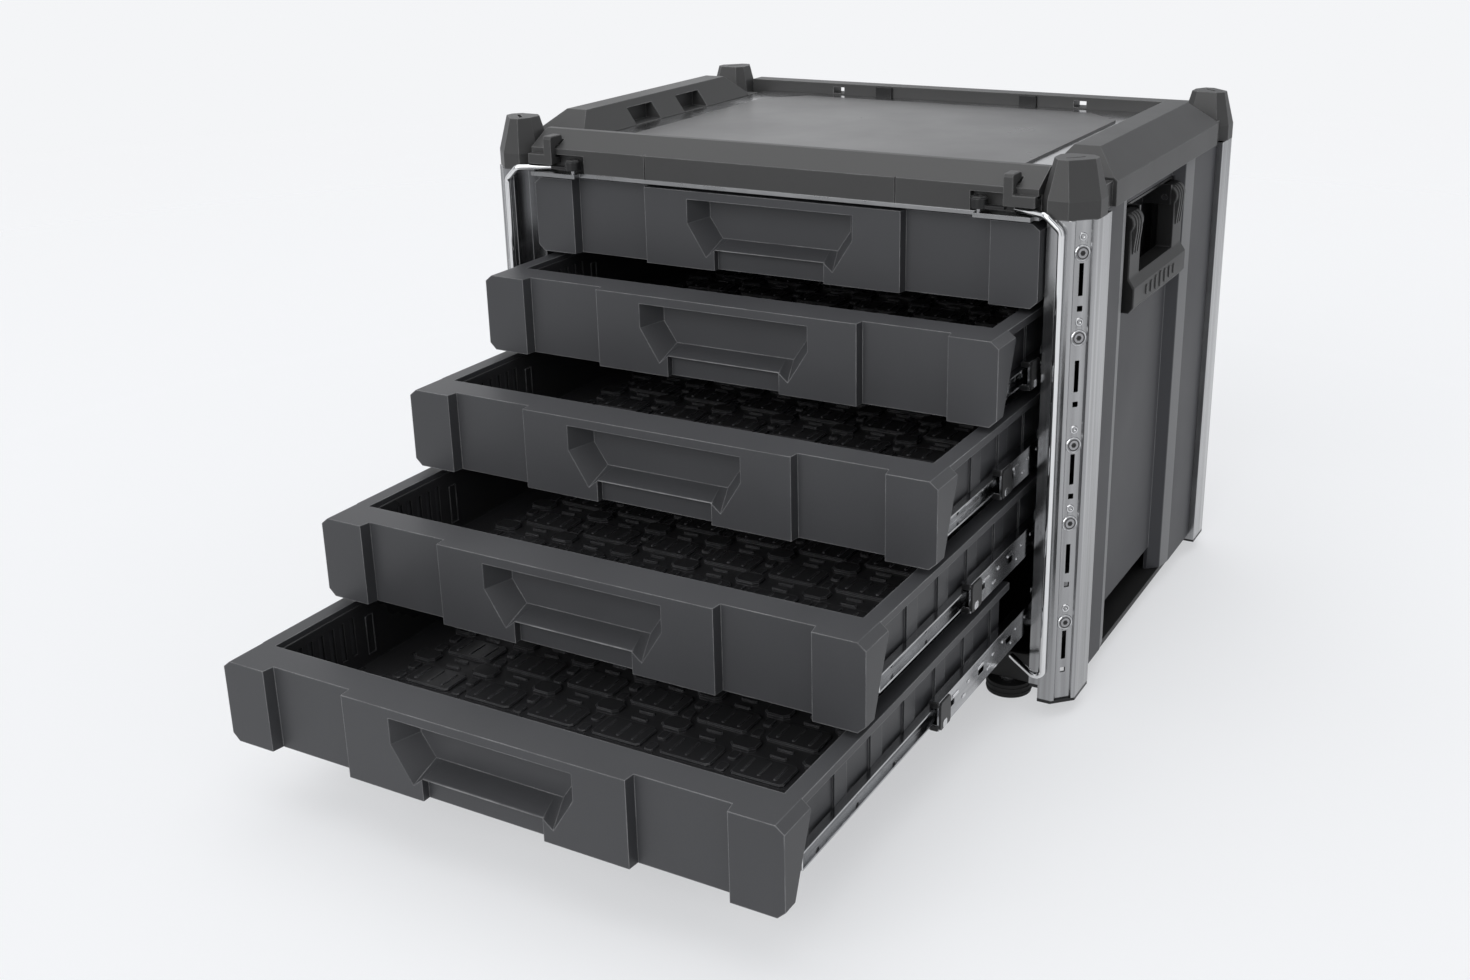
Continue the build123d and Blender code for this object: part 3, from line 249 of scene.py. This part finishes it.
# Colour and roughness, then the colour of the painted highlight on rounded edges or the way the lines
# run.
MATERIALS = {
    "drawer": moulded_plastic("drawer_grey", (0.057, 0.058, 0.062), 0.42, (0.32, 0.322, 0.328)),
    # Panel plastic, with a painted highlight on its slopes.
    "panel": moulded_plastic("panel_grey", (0.042, 0.043, 0.048), 0.48, (0.22, 0.223, 0.23),
                             slope_highlight_colour=(0.26, 0.262, 0.268)),
    "lid": moulded_plastic("lid_grey", (0.050, 0.050, 0.050), 0.42, (0.24, 0.24, 0.24)),
    "label": moulded_plastic("label_grey", (0.060, 0.059, 0.060), 0.30, (0.13, 0.13, 0.13),
                             grain=700.0, depth=0.00002, specular=0.5),
    "liner": moulded_plastic("liner_black", (0.034, 0.034, 0.036), 0.30, (0.08, 0.08, 0.082)),
    "pads": moulded_plastic("liner_pads", (0.034, 0.034, 0.036), 0.22, (0.26, 0.26, 0.27),
                            depth=0.00004, edge=0.0005),
    "black": moulded_plastic("black_plastic", (0.012, 0.012, 0.0125), 0.36, (0.05, 0.05, 0.051)),
    "handle": moulded_plastic("handle_black", (0.013, 0.013, 0.013), 0.42, (0.10, 0.10, 0.10),
                              grain=1100.0, depth=0.0001),
    "rubber": moulded_plastic("foot_rubber", (0.011, 0.011, 0.011), 0.7, (0.03, 0.03, 0.03),
                              grain=900.0, depth=0.0002),
    "post": drawn_metal("post_zinc", (0.42, 0.423, 0.43), 0.20, ALONG_Z,
                        depth=0.000005, spots=0.02, lines=190.0, contrast=1.0),
    "slide": drawn_metal("slide_zinc", (0.46, 0.465, 0.475), 0.16, ALONG_Y,
                         depth=0.00001, spots=0.12, lines=260.0, contrast=0.7),
    "rod": drawn_metal("rod_chrome", (0.78, 0.785, 0.79), 0.08, ALONG_Z, depth=0.000005, spots=0.02),
    "screw": drawn_metal("screw_zinc", (0.66, 0.665, 0.675), 0.22, ROUND),
    "bolt": drawn_metal("bolt_zinc", (0.34, 0.34, 0.35), 0.24, ROUND),
    "lid_metal": drawn_metal("lid_sheet", (0.56, 0.56, 0.565), 0.20, ALONG_Y,
                             depth=0.000003, spots=0.02, lines=300.0, contrast=0.15),
    "top_steel": drawn_metal("top_sheet", (0.30, 0.303, 0.307), 0.30, ALONG_X),
    "base": moulded_plastic("base_coat", (0.010, 0.010, 0.010), 0.5, (0.05, 0.05, 0.05),
                            grain=900.0, depth=0.0001),
}

# Which material each CAD node has, and how far its edges are rounded in millimetres.
NODE_LOOK = {
    "drawer_liner": ("liner", 0.35), "drawer": ("drawer", 0.7), "slide": ("slide", 0.2),
    "post_screws": ("bolt", 0.2), "post_shoes": ("black", 0.2), "post": ("post", 0.35),
    "corner_cap": ("lid", 0.8), "lid_frame": ("lid", 0.7), "lid_side": ("lid", 0.7),
    "lid_floor": ("lid_metal", 0.3), "label_panel": ("label", 0.4), "side_panel": ("panel", 0.7),
    "handle_pocket": ("black", 0.3), "side_handle": ("handle", 1.0), "back_panel": ("panel", 0.5),
    "base_plate": ("base", 0.4), "top_plate": ("top_steel", 0.2), "rubber_feet": ("rubber", 1.2),
    "foot_bolts": ("bolt", 0.3), "pocket_screws": ("screw", 0.3), "handle_pins": ("bolt", 0.2),
    "lever_pins": ("bolt", 0.2), "rear_clips": ("black", 0.4), "catch_posts": ("lid", 0.7),
    "latch_lever": ("black", 0.4), "latch_rod": ("rod", 0.0),
}
WELD_GAP = 0.00002      # metres
SHARP_ANGLE = 28        # degrees; edges that turn by more are rounded
ROUND_STEPS = 2
FACE_WEIGHT = 80        # how much large faces count in the shading


def look_of(node):
    """The entry of NODE_LOOK whose key is the longest that the node's name begins with."""
    keys = [k for k in NODE_LOOK if node.startswith(k)]
    return NODE_LOOK[max(keys, key=len)]


def soften(obj, width):
    """Joins split corners, rounds the edges by width in millimetres and evens the shading."""
    weld = obj.modifiers.new("weld", "WELD")
    weld.merge_threshold = WELD_GAP
    if width > 0:
        round_edges = obj.modifiers.new("round", "BEVEL")
        round_edges.width = width * MM
        round_edges.segments = ROUND_STEPS
        round_edges.limit_method = "ANGLE"
        round_edges.angle_limit = math.radians(SHARP_ANGLE)
        round_edges.use_clamp_overlap = True
    even = obj.modifiers.new("even", "WEIGHTED_NORMAL")
    even.keep_sharp = True
    even.weight = FACE_WEIGHT


def dress_cad_nodes():
    for name, cad in nodes.items():
        look, width = look_of(name)
        if not cad.material_slots:
            cad.data.materials.append(MATERIALS[look])
        for slot in cad.material_slots:
            slot.material = MATERIALS[look]
        soften(cad, width)


# ---- mesh helpers, all in millimetres --------------------------------------
CUT_SHARE, LEAST_CUT = 0.4, 0.05    # how a block's corner cut shrinks with its rim
SWEPT_TOP = 0.7                     # outer width of a swept bar, as a share of the inner


def basis(origin, across, up, out):
    """Matrix that puts local X along across, Y along up and Z along out."""
    axes = [Vector(a).normalized() for a in (across, up, out)]
    matrix = Matrix(axes).transposed().to_4x4()
    matrix.translation = Vector(origin)
    return matrix


def flat(x, y, z):
    """Place for something that lies level."""
    return basis((x, y, z), (1, 0, 0), (0, 1, 0), UP)


def facing_side(side, x, y, z):
    """Place on the left (-1) or right (1), facing outwards, with local X along Y."""
    return basis((side * x, y, z), (0, side, 0), UP, (side, 0, 0))


def facing_end(way, x, y, z):
    """Place that faces the front (-1) or the back (1), with local X along X."""
    return basis((x, y, z), (1, 0, 0), UP, (0, way, 0))


def join_loops(bm, loops):
    """Faces between each loop of vertices and the next."""
    for one, two in zip(loops, loops[1:]):
        for n in range(len(one)):
            m = (n + 1) % len(one)
            bm.faces.new((one[n], one[m], two[m], two[n]))


def block(bm, place, width, length, height, corner, slope):
    """Block with cut corners and a sloping rim, standing on the local XY plane."""
    def outline(shrink, level):
        x, y = width / 2 - shrink, length / 2 - shrink
        cut = max(corner - CUT_SHARE * shrink, LEAST_CUT)
        points = [(x, y - cut), (x - cut, y), (-x + cut, y), (-x, y - cut),
                  (-x, -y + cut), (-x + cut, -y), (x - cut, -y), (x, -y + cut)]
        return [bm.verts.new(place @ Vector((px, py, level))) for px, py in points]

    loops = [outline(0, 0), outline(0, height - slope), outline(slope, height)]
    bm.faces.new(list(reversed(loops[0])))
    join_loops(bm, loops)
    bm.faces.new(loops[-1])


def turned(bm, place, profile, segments=32):
    """Closed outline of (radius, height) points, turned round the local Z axis."""
    turns = [2 * math.pi * n / segments for n in range(segments)]
    rings = [[bm.verts.new(place @ Vector((radius * math.cos(t), radius * math.sin(t), height)))
              for t in turns] for radius, height in profile]
    join_loops(bm, rings + rings[:1])


def swept(bm, stations, y, half):
    """Bar with a four-sided section round y; stations are (inner, outer) points in X and Z."""
    loops = []
    for (xi, zi), (xo, zo) in stations:
        section = ((xi, zi, -half), (xo, zo, -half * SWEPT_TOP),
                   (xo, zo, half * SWEPT_TOP), (xi, zi, half))
        loops.append([bm.verts.new((px, y + dy, pz)) for px, pz, dy in section])
    join_loops(bm, loops)
    bm.faces.new(list(reversed(loops[0])))
    bm.faces.new(loops[-1])


def new_piece(name, look, body, slot, fill, *given):
    """Makes an object of what fill draws in a bmesh, and fixes it to a body."""
    bm = bmesh.new()
    fill(bm, *given)
    bmesh.ops.scale(bm, vec=(MM, MM, MM), verts=bm.verts)
    bmesh.ops.recalc_face_normals(bm, faces=bm.faces)
    mesh = bpy.data.meshes.new(name)
    bm.to_mesh(mesh)
    bm.free()
    mesh.materials.append(MATERIALS[look])
    obj = bpy.data.objects.new(name, mesh)
    bpy.context.scene.collection.objects.link(obj)
    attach(obj, body)


# ---- drawer liners ----------------------------------------------------------
PAD_PITCH_X, PAD_PITCH_Y = 47.0, 41.0
SIDE_SPACE, FRONT_SPACE, BACK_SPACE = 3.0, 12.0, 8.0    # between the walls and the pads
LAST_ROW_SPARE = 6.0                                    # how far the last large pads may run past
# Width, length, height, cut of the corners and slope of the rim.
SMALL_PAD = (17.0, 14.0, 2.6, 3.2, 0.9)
BAR = (11.0, 2.6, 1.5, 0.8, 0.5)
LARGE_PAD = (34.0, 22.0, 1.9, 2.0, 0.7)
PAD_RIB = (1.6, 15.0, 0.7, 0.4, 0.3)
STUD = (6.0, 9.0, 1.4, 1.2, 0.5)
# Where the repeated ones lie, from the middle of their pad or row.
BAR_SHIFTS = (-4.2, 4.2)
PAD_RIB_SHIFTS = (-10.5, 0.0, 10.5)
STUD_SHIFTS = (-7.0, 7.0)


def liner_pads(bm, node):
    """Rows of small pads with bars between, and ribbed large pads with studs between the rows."""
    low, high = corners(node)
    floor = low.z + LINER_WALL
    reach_x = high.x - LINER_WALL - SIDE_SPACE
    front, back = low.y + LINER_WALL + FRONT_SPACE, high.y - LINER_WALL - BACK_SPACE
    across = int(reach_x // PAD_PITCH_X)
    pad_length, pad_height = LARGE_PAD[1:3]
    row = 0
    y = front
    while y < back:
        for n in range(-across, across + 1):
            x = n * PAD_PITCH_X
            block(bm, flat(x, y, floor), *SMALL_PAD)
            if n < across:
                for shift in BAR_SHIFTS:
                    block(bm, flat(x + PAD_PITCH_X / 2, y + shift, floor), *BAR)
        middle = y + PAD_PITCH_Y / 2
        if middle + pad_length / 2 < back + LAST_ROW_SPARE:
            for n in range(-across, across):
                x = (n + 0.5) * PAD_PITCH_X
                block(bm, flat(x, middle, floor), *LARGE_PAD)
                for shift in PAD_RIB_SHIFTS:
                    block(bm, flat(x + shift, middle, floor + pad_height), *PAD_RIB)
            for n in range(-across, across + 1):
                for shift in STUD_SHIFTS:
                    block(bm, flat(n * PAD_PITCH_X, middle + shift, floor), *STUD)
        row += 1
        y = front + row * PAD_PITCH_Y


LINER_SLOTS = ((9.5, 12.0, 8.0), (76.0, 6.0, 26.0))    # from the front, above the floor, height
RIM_SHIFTS = (-3.2, 3.2)                               # upright rims, from a slot's middle
RIM_LENGTH, RIM_WIDTH = 7.0, 0.9
RIM = (0.7, 0.3, 0.25)                                 # height, cut and slope


def liner_slot_rims(bm, node):
    """Raised rims round a short and a tall slot on both side walls of a liner."""
    low, high = corners(node)
    wall = high.x - LINER_WALL
    floor = low.z + LINER_WALL
    for side in SIDES.values():
        for from_front, base, tall in LINER_SLOTS:
            y = low.y + from_front
            for shift in RIM_SHIFTS:
                place = facing_side(-side, -wall, y + shift, floor + base + tall / 2)
                block(bm, place, RIM_WIDTH, tall, *RIM)
            for end in (0.0, tall):
                place = facing_side(-side, -wall, y, floor + base + end)
                block(bm, place, RIM_LENGTH, RIM_WIDTH, *RIM)


# ---- slides ------------------------------------------------------------------
BUMPER_LENGTH = 15.0
BUMPER_SHORT = 1.0                    # bumper lower than its rail
BUMPER = (1.3, 1.4, 0.4)              # height, cut and slope
FLANGE_CAP = (5.4, 3.4, 1.1, 0.6, 0.3)
FLANGE_IN, FLANGE_DOWN = 2.8, 2.0     # middle of a cap, from the rail's side and top


def slide_bumper(bm, node):
    """Black end pieces on the front of both middle rails."""
    low, high = corners(node)
    middle_z, half = (low.z + high.z) / 2, (high.z - low.z) / 2
    for side in SIDES.values():
        web = facing_side(side, high.x, low.y + BUMPER_LENGTH / 2, middle_z)
        block(bm, web, BUMPER_LENGTH, 2 * half - BUMPER_SHORT, *BUMPER)
        for way in (-1, 1):
            cap = facing_end(-1, side * (high.x - FLANGE_IN), low.y,
                             middle_z + way * (half - FLANGE_DOWN))
            block(bm, cap, *FLANGE_CAP)


TAB_GROUPS = 6
TAB_START, TAB_SPARE = 24.0, 40.0     # first group from the front, length left without groups
TABS = ((0.0, 9.0, 3.6), (13.0, 5.0, -3.8), (20.0, 3.4, 2.6))    # along, length, above the middle
TAB = (2.0, 0.6, 0.5, 0.3)            # width, height, cut and slope
HOOK = (5.5, 4.6, 0.4, 0.8, 0.2)
HOOK_OUT, HOOK_BACK, HOOK_UP = 1.3, 6.0, 3.6


def slide_tabs(bm, node):
    """Punched tongues and a lower hook on the outer face of both middle rails."""
    low, high = corners(node)
    middle_z, half = (low.z + high.z) / 2, (high.z - low.z) / 2
    length = high.y - low.y
    for side in SIDES.values():
        for n in range(TAB_GROUPS):
            y = low.y + TAB_START + n * (length - TAB_SPARE) / TAB_GROUPS
            for shift, wide, rise in TABS:
                block(bm, facing_side(side, high.x, y + shift, middle_z + rise), wide, *TAB)
        place = facing_side(side, high.x + HOOK_OUT, low.y + HOOK_BACK, middle_z - half + HOOK_UP)
        block(bm, place, *HOOK)


END_PLATE = (0.9, 0.8, 0.25)          # height, cut and slope
TONGUES = ((38.0, 9.0), (52.0, 4.0), (61.0, 4.0), (120.0, 6.0), (185.0, 6.0))    # from front, length
TONGUE_RISE = 1.2
TONGUE = (2.4, 0.8, 0.5, 0.3)         # width, height, cut and slope


def inner_slide_ends(bm, node):
    """Bright front plate and punched tongues on both inner rails."""
    low, high = corners(node)
    middle_z = (low.z + high.z) / 2
    web = high.x - INNER_FLANGE + SLIDE_SHEET
    for side in SIDES.values():
        front = facing_end(-1, side * (high.x - INNER_FLANGE / 2), low.y, middle_z)
        block(bm, front, INNER_FLANGE, high.z - low.z, *END_PLATE)
        for y, wide in TONGUES:
            block(bm, facing_side(side, web, low.y + y, middle_z + TONGUE_RISE), wide, *TONGUE)


# ---- posts --------------------------------------------------------------------
# Outlines of turned pieces: radius and height.
COLLAR = [(4.2, 0.0), (4.25, 0.75), (4.7, 0.95), (5.1, 0.6), (5.3, 0.0)]
DIMPLE_RIM = [(1.7, 0.0), (1.8, 0.5), (2.3, 0.55), (2.7, 0.0)]
# The next two are thin dark discs, painted as the shade in a screw's socket and groove.
SOCKET_SHADE = [(0.05, 0.0), (0.05, 0.09), (1.75, 0.09), (1.75, 0.0)]
GROOVE_SHADE = [(3.1, 0.0), (3.1, 0.08), (3.75, 0.08), (3.75, 0.0)]


def strip_place(sx, sy, level, lift):
    """Place at lift outwards from the middle of a post's strip; sx and sy pick the corner."""
    out = Vector((sx * math.sqrt(0.5), sy * math.sqrt(0.5), 0))
    along = Vector(UP).cross(out)
    return basis(Vector((sx * STRIP_X, -sy * STRIP_Y, level)) + out * lift, along, UP, out)


def post_rings(bm):
    """Collar round each post screw, and a rim round the dimple above it."""
    for sx, sy in CORNERS:
        for level in SCREW_LEVELS:
            turned(bm, strip_place(sx, sy, level, STRIP_OUT), COLLAR)
            above = strip_place(sx, sy, level + DIMPLE_RISE, STRIP_OUT)
            turned(bm, above, DIMPLE_RIM, segments=20)


def painted_socket_shade(bm):
    """Painted shade: a dark six-sided disc where each post screw's socket is, and a dark ring round
    it where its groove is.
    """
    for sx, sy in CORNERS:
        for level in SCREW_LEVELS:
            place = strip_place(sx, sy, level, SOCKET_OUT)
            turned(bm, place, SOCKET_SHADE, segments=6)
            turned(bm, place, GROOVE_SHADE)


# ---- side handles ---------------------------------------------------------------
RIB_SHIFTS = (-5.0, 0.0, 5.0)                         # ribs, from an arm's middle
RIB_TURNS = (60, 45, 30, 15, 0)                       # degrees round the knuckle
RIB_DROPS = ((5.0, 0.0), (14.0, 1.0), (20.0, 1.5))    # below the pivot, and how far further in
RIB_IN, RIB_ARM_IN, RIB_OUT = 0.4, 1.5, 0.6           # depth in the knuckle and arm, and rise
RIB_HALF = 1.5
GRIP_BARS = range(-3, 4)
GRIP_PITCH, GRIP_RISE = 10.5, 10.5
GRIP_TALL, GRIP_TAPER = 11.0, 1.4                     # middle bar, and how much less each next one
GRIP_BAR_WIDTH = 5.0
GRIP_BAR = (0.7, 1.2, 0.4)                            # height, cut and slope


def handle_ribs(bm, side):
    """Three ribs over each knuckle and down the arm, and raised bars on the grip."""
    def round_knuckle(radius, degrees):
        turn = math.radians(degrees)
        return side * (PIVOT_X + radius * math.cos(turn)), PIVOT_Z + radius * math.sin(turn)

    stations = [(round_knuckle(KNUCKLE_RADIUS - RIB_IN, degrees),
                 round_knuckle(KNUCKLE_RADIUS + RIB_OUT, degrees)) for degrees in RIB_TURNS]
    for drop, inset in RIB_DROPS:
        x = PIVOT_X + KNUCKLE_RADIUS - inset
        stations.append(((side * (x - RIB_ARM_IN), PIVOT_Z - drop),
                         (side * (x + RIB_OUT), PIVOT_Z - drop)))
    for arm in ARM_MIDDLES:
        for shift in RIB_SHIFTS:
            swept(bm, stations, HANDLE_MIDDLE + arm + shift, RIB_HALF)
    low, high = corners("side_handle_right")
    for n in GRIP_BARS:
        place = facing_side(side, high.x, HANDLE_MIDDLE + n * GRIP_PITCH, low.z + GRIP_RISE)
        block(bm, place, GRIP_BAR_WIDTH, GRIP_TALL - GRIP_TAPER * abs(n), *GRIP_BAR)


# ---- latches, feet and back -------------------------------------------------------
KNOB = [(1.9, 0.0), (2.1, 1.3), (4.2, 1.3), (5.2, 0.5), (5.2, 0.0)]
FOOT_RING_LEVELS = (1.6, 5.2)
FOOT_RING = [(FOOT_RADIUS - 0.3, 0.0), (FOOT_RADIUS + 0.5, 0.3),
             (FOOT_RADIUS + 0.5, 1.3), (FOOT_RADIUS - 0.3, 1.6)]
PAN_HEAD = [(0.9, 0.0), (0.9, 0.7), (1.4, 1.2), (2.8, 1.1), (3.6, 0.5), (3.6, 0.0)]
BACK_SCREWS = 4                                # on each edge
BACK_END, BACK_EDGE, BACK_SINK = 40, 9, 2.0    # from the panel's ends, edges and back


def lever_knob(bm, side):
    """Six-sided rim on top of the thumb button."""
    turned(bm, flat(side * BUTTON_X, BUTTON_Y, BUTTON_TOP), KNOB, segments=6)


def foot_rings(bm):
    """Two rims round each rubber foot."""
    high = corners("rubber_feet")[1]
    for sx, sy in CORNERS:
        for level in FOOT_RING_LEVELS:
            place = flat(sx * (high.x - FOOT_RADIUS), sy * (high.y - FOOT_RADIUS), level)
            turned(bm, place, FOOT_RING)


def back_screws(bm):
    """Pan heads along both edges of the back panel."""
    low, high = corners("back_panel")
    for side in SIDES.values():
        for n in range(BACK_SCREWS):
            z = low.z + BACK_END + n * (high.z - low.z - 2 * BACK_END) / (BACK_SCREWS - 1)
            place = facing_end(1, side * (high.x - BACK_EDGE), high.y - BACK_SINK, z)
            turned(bm, place, PAN_HEAD, segments=24)


def make_pieces():
    for k in DRAWERS:
        drawer, slide = f"drawer_{k}_body", f"slide_{k}_body"
        liner, middle, inner = f"drawer_liner_{k}", f"slide_middle_{k}", f"slide_inner_{k}"
        new_piece(f"liner_pads_{k}", "pads", drawer, "liner", liner_pads, liner)
        new_piece(f"liner_rims_{k}", "pads", drawer, "liner", liner_slot_rims, liner)
        new_piece(f"slide_bumpers_{k}", "black", slide, "black_plastic", slide_bumper, middle)
        new_piece(f"slide_tabs_{k}", "screw", slide, "slide_steel", slide_tabs, middle)
        new_piece(f"slide_ends_{k}", "screw", drawer, "slide_steel", inner_slide_ends, inner)
    for name, side in SIDES.items():
        handle, lever = f"handle_{name}_body", f"lever_{name}_body"
        new_piece(f"handle_ribs_{name}", "handle", handle, "handle_plastic", handle_ribs, side)
        new_piece(f"lever_knob_{name}", "black", lever, "lever_plastic", lever_knob, side)
    new_piece("post_rings", "screw", "cabinet", "screw_zinc", post_rings)
    # Painted shade in the sockets and grooves of the post screws.
    new_piece("painted_socket_shade", "black", "cabinet", "screw_zinc", painted_socket_shade)
    new_piece("foot_rings", "rubber", "cabinet", "rubber", foot_rings)
    new_piece("back_screws", "screw", "cabinet", "screw_zinc", back_screws)


# ---- studio ---------------------------------------------------------------
scene = bpy.context.scene
scene.view_settings.view_transform = "Standard"
BACKDROP = (0.9047, 0.9131, 0.9301)
SOFT_LIGHT = 0.62
BANDS = 5                                # bright bands round the horizon
BAND_SPAN = (-0.7, 0.7)
DARK_BAND, BRIGHT_BAND = (0.42, 0.43, 0.45), (1.0, 1.01, 1.03)
FLOOR_COLOUR = (0.420, 0.424, 0.432)
FLOOR_GLOW = 0.55
FLOOR_RADIUS, FLOOR_SIDES = 6.0, 96      # metres
FLOOR_PLACE = (0, -0.15, -0.0002)
FADE_SPAN = (0.9, 2.6)                   # metres from the floor's middle
# Where each sun stands, its strength, and how wide its soft edge is in degrees.
SUNS = {
    "top": ((-0.15, 0.1, 1.0), 1.05, 70),
    "front": ((-0.1, -1.0, 0.5), 1.45, 50),
    "rear_right": ((1.0, 0.9, 0.6), 0.10, 30),
}
CAMERA_PLACE = (509.06, -1065.55, 536.13)    # millimetres
CAMERA_AZIMUTH, CAMERA_ELEVATION, CAMERA_ROLL = 29.51, 19.39, -1.09
SENSOR_WIDTH, LENS = 36.0, 39.66
SHIFT_X, SHIFT_Y = -0.02155, -0.04739
FARTHEST = 50


def upright_bands(tree):
    """Soft upright bands round the horizon, from 0 to 1."""
    coords = tree.nodes.new("ShaderNodeTexCoord")
    round_up = tree.nodes.new("ShaderNodeTexGradient")
    round_up.gradient_type = "RADIAL"
    tree.links.new(coords.outputs["Generated"], round_up.inputs["Vector"])
    wave = maths(tree, "MULTIPLY", round_up.outputs["Fac"], 2 * math.pi * BANDS)
    return remap(tree, maths(tree, "SINE", wave), BAND_SPAN)


def make_world():
    """Soft light for the object, brighter bands for its gloss, a plain pale colour for the camera."""
    world = bpy.data.worlds.new("studio")
    scene.world = world
    world.use_nodes = True
    tree = world.node_tree
    soft = tree.nodes["Background"]
    soft.inputs["Strength"].default_value = SOFT_LIGHT
    gloss = tree.nodes.new("ShaderNodeBackground")
    seen = tree.nodes.new("ShaderNodeBackground")
    seen.inputs["Color"].default_value = (*BACKDROP, 1)
    band = upright_bands(tree)
    tree.links.new(mixed(tree, band, DARK_BAND, BRIGHT_BAND), soft.inputs["Color"])
    tree.links.new(mixed(tree, band, DARK_BAND, BACKDROP), gloss.inputs["Color"])
    result = mixed_shader(tree, light_ray(tree, "Is Glossy Ray"), soft.outputs[0], gloss.outputs[0])
    result = mixed_shader(tree, light_ray(tree, "Is Camera Ray"), result, seen.outputs[0])
    tree.links.new(result, tree.nodes["World Output"].inputs["Surface"])


def make_floor():
    """Round pale floor that fades into the backdrop; only what is seen or reflected glows."""
    mesh = bpy.data.meshes.new("floor")
    bm = bmesh.new()
    bmesh.ops.create_circle(bm, cap_ends=True, segments=FLOOR_SIDES, radius=FLOOR_RADIUS)
    bm.to_mesh(mesh)
    bm.free()
    floor = bpy.data.objects.new("floor", mesh)
    scene.collection.objects.link(floor)
    floor.location = FLOOR_PLACE
    mat, tree, shader, coords = new_material("floor", PLASTIC, roughness=1.0, specular=0.0)
    shader.inputs["Base Color"].default_value = (*FLOOR_COLOUR, 1)
    shader.inputs["Emission Color"].default_value = (*BACKDROP, 1)
    seen = light_ray(tree, "Is Camera Ray", "Is Glossy Ray", "Is Transmission Ray")
    tree.links.new(remap(tree, seen, (0.0, 1.0), high=FLOOR_GLOW), shader.inputs["Emission Strength"])
    length = tree.nodes.new("ShaderNodeVectorMath")
    length.operation = "LENGTH"
    tree.links.new(coords, length.inputs[0])
    fade = remap(tree, length.outputs["Value"], FADE_SPAN)
    clear = tree.nodes.new("ShaderNodeBsdfTransparent")
    result = mixed_shader(tree, fade, shader.outputs[0], clear.outputs[0])
    tree.links.new(result, tree.nodes["Material Output"].inputs["Surface"])
    floor.data.materials.append(mat)


def soft_sun(name, way, strength, spread):
    """Even light from a direction, with a wide soft edge; spread is in degrees."""
    data = bpy.data.lights.new(name, "SUN")
    data.energy = strength
    data.angle = math.radians(spread)
    lamp = bpy.data.objects.new(name, data)
    scene.collection.objects.link(lamp)
    lamp.rotation_euler = Vector(way).to_track_quat("Z", "Y").to_euler()


def make_camera():
    """Camera solved from the photograph's straight edges."""
    azimuth, elevation = math.radians(CAMERA_AZIMUTH), math.radians(CAMERA_ELEVATION)
    roll = math.radians(CAMERA_ROLL)
    away = Vector((math.sin(azimuth) * math.cos(elevation), -math.cos(azimuth) * math.cos(elevation),
                   math.sin(elevation)))
    right = Vector((math.cos(azimuth), math.sin(azimuth), 0))
    up = away.cross(right)
    rolled_right = math.cos(roll) * right + math.sin(roll) * up
    rolled_up = -math.sin(roll) * right + math.cos(roll) * up
    data = bpy.data.cameras.new("camera")
    data.sensor_width = SENSOR_WIDTH
    data.lens = LENS
    data.shift_x = SHIFT_X
    data.shift_y = SHIFT_Y
    data.clip_end = FARTHEST
    camera = bpy.data.objects.new("camera", data)
    scene.collection.objects.link(camera)
    matrix = Matrix((rolled_right, rolled_up, away)).transposed().to_4x4()
    matrix.translation = Vector(CAMERA_PLACE) * MM
    camera.matrix_world = matrix
    scene.camera = camera


dress_cad_nodes()
make_pieces()
make_world()
make_floor()
make_camera()
for sun_name, sun in SUNS.items():
    soft_sun(sun_name, *sun)
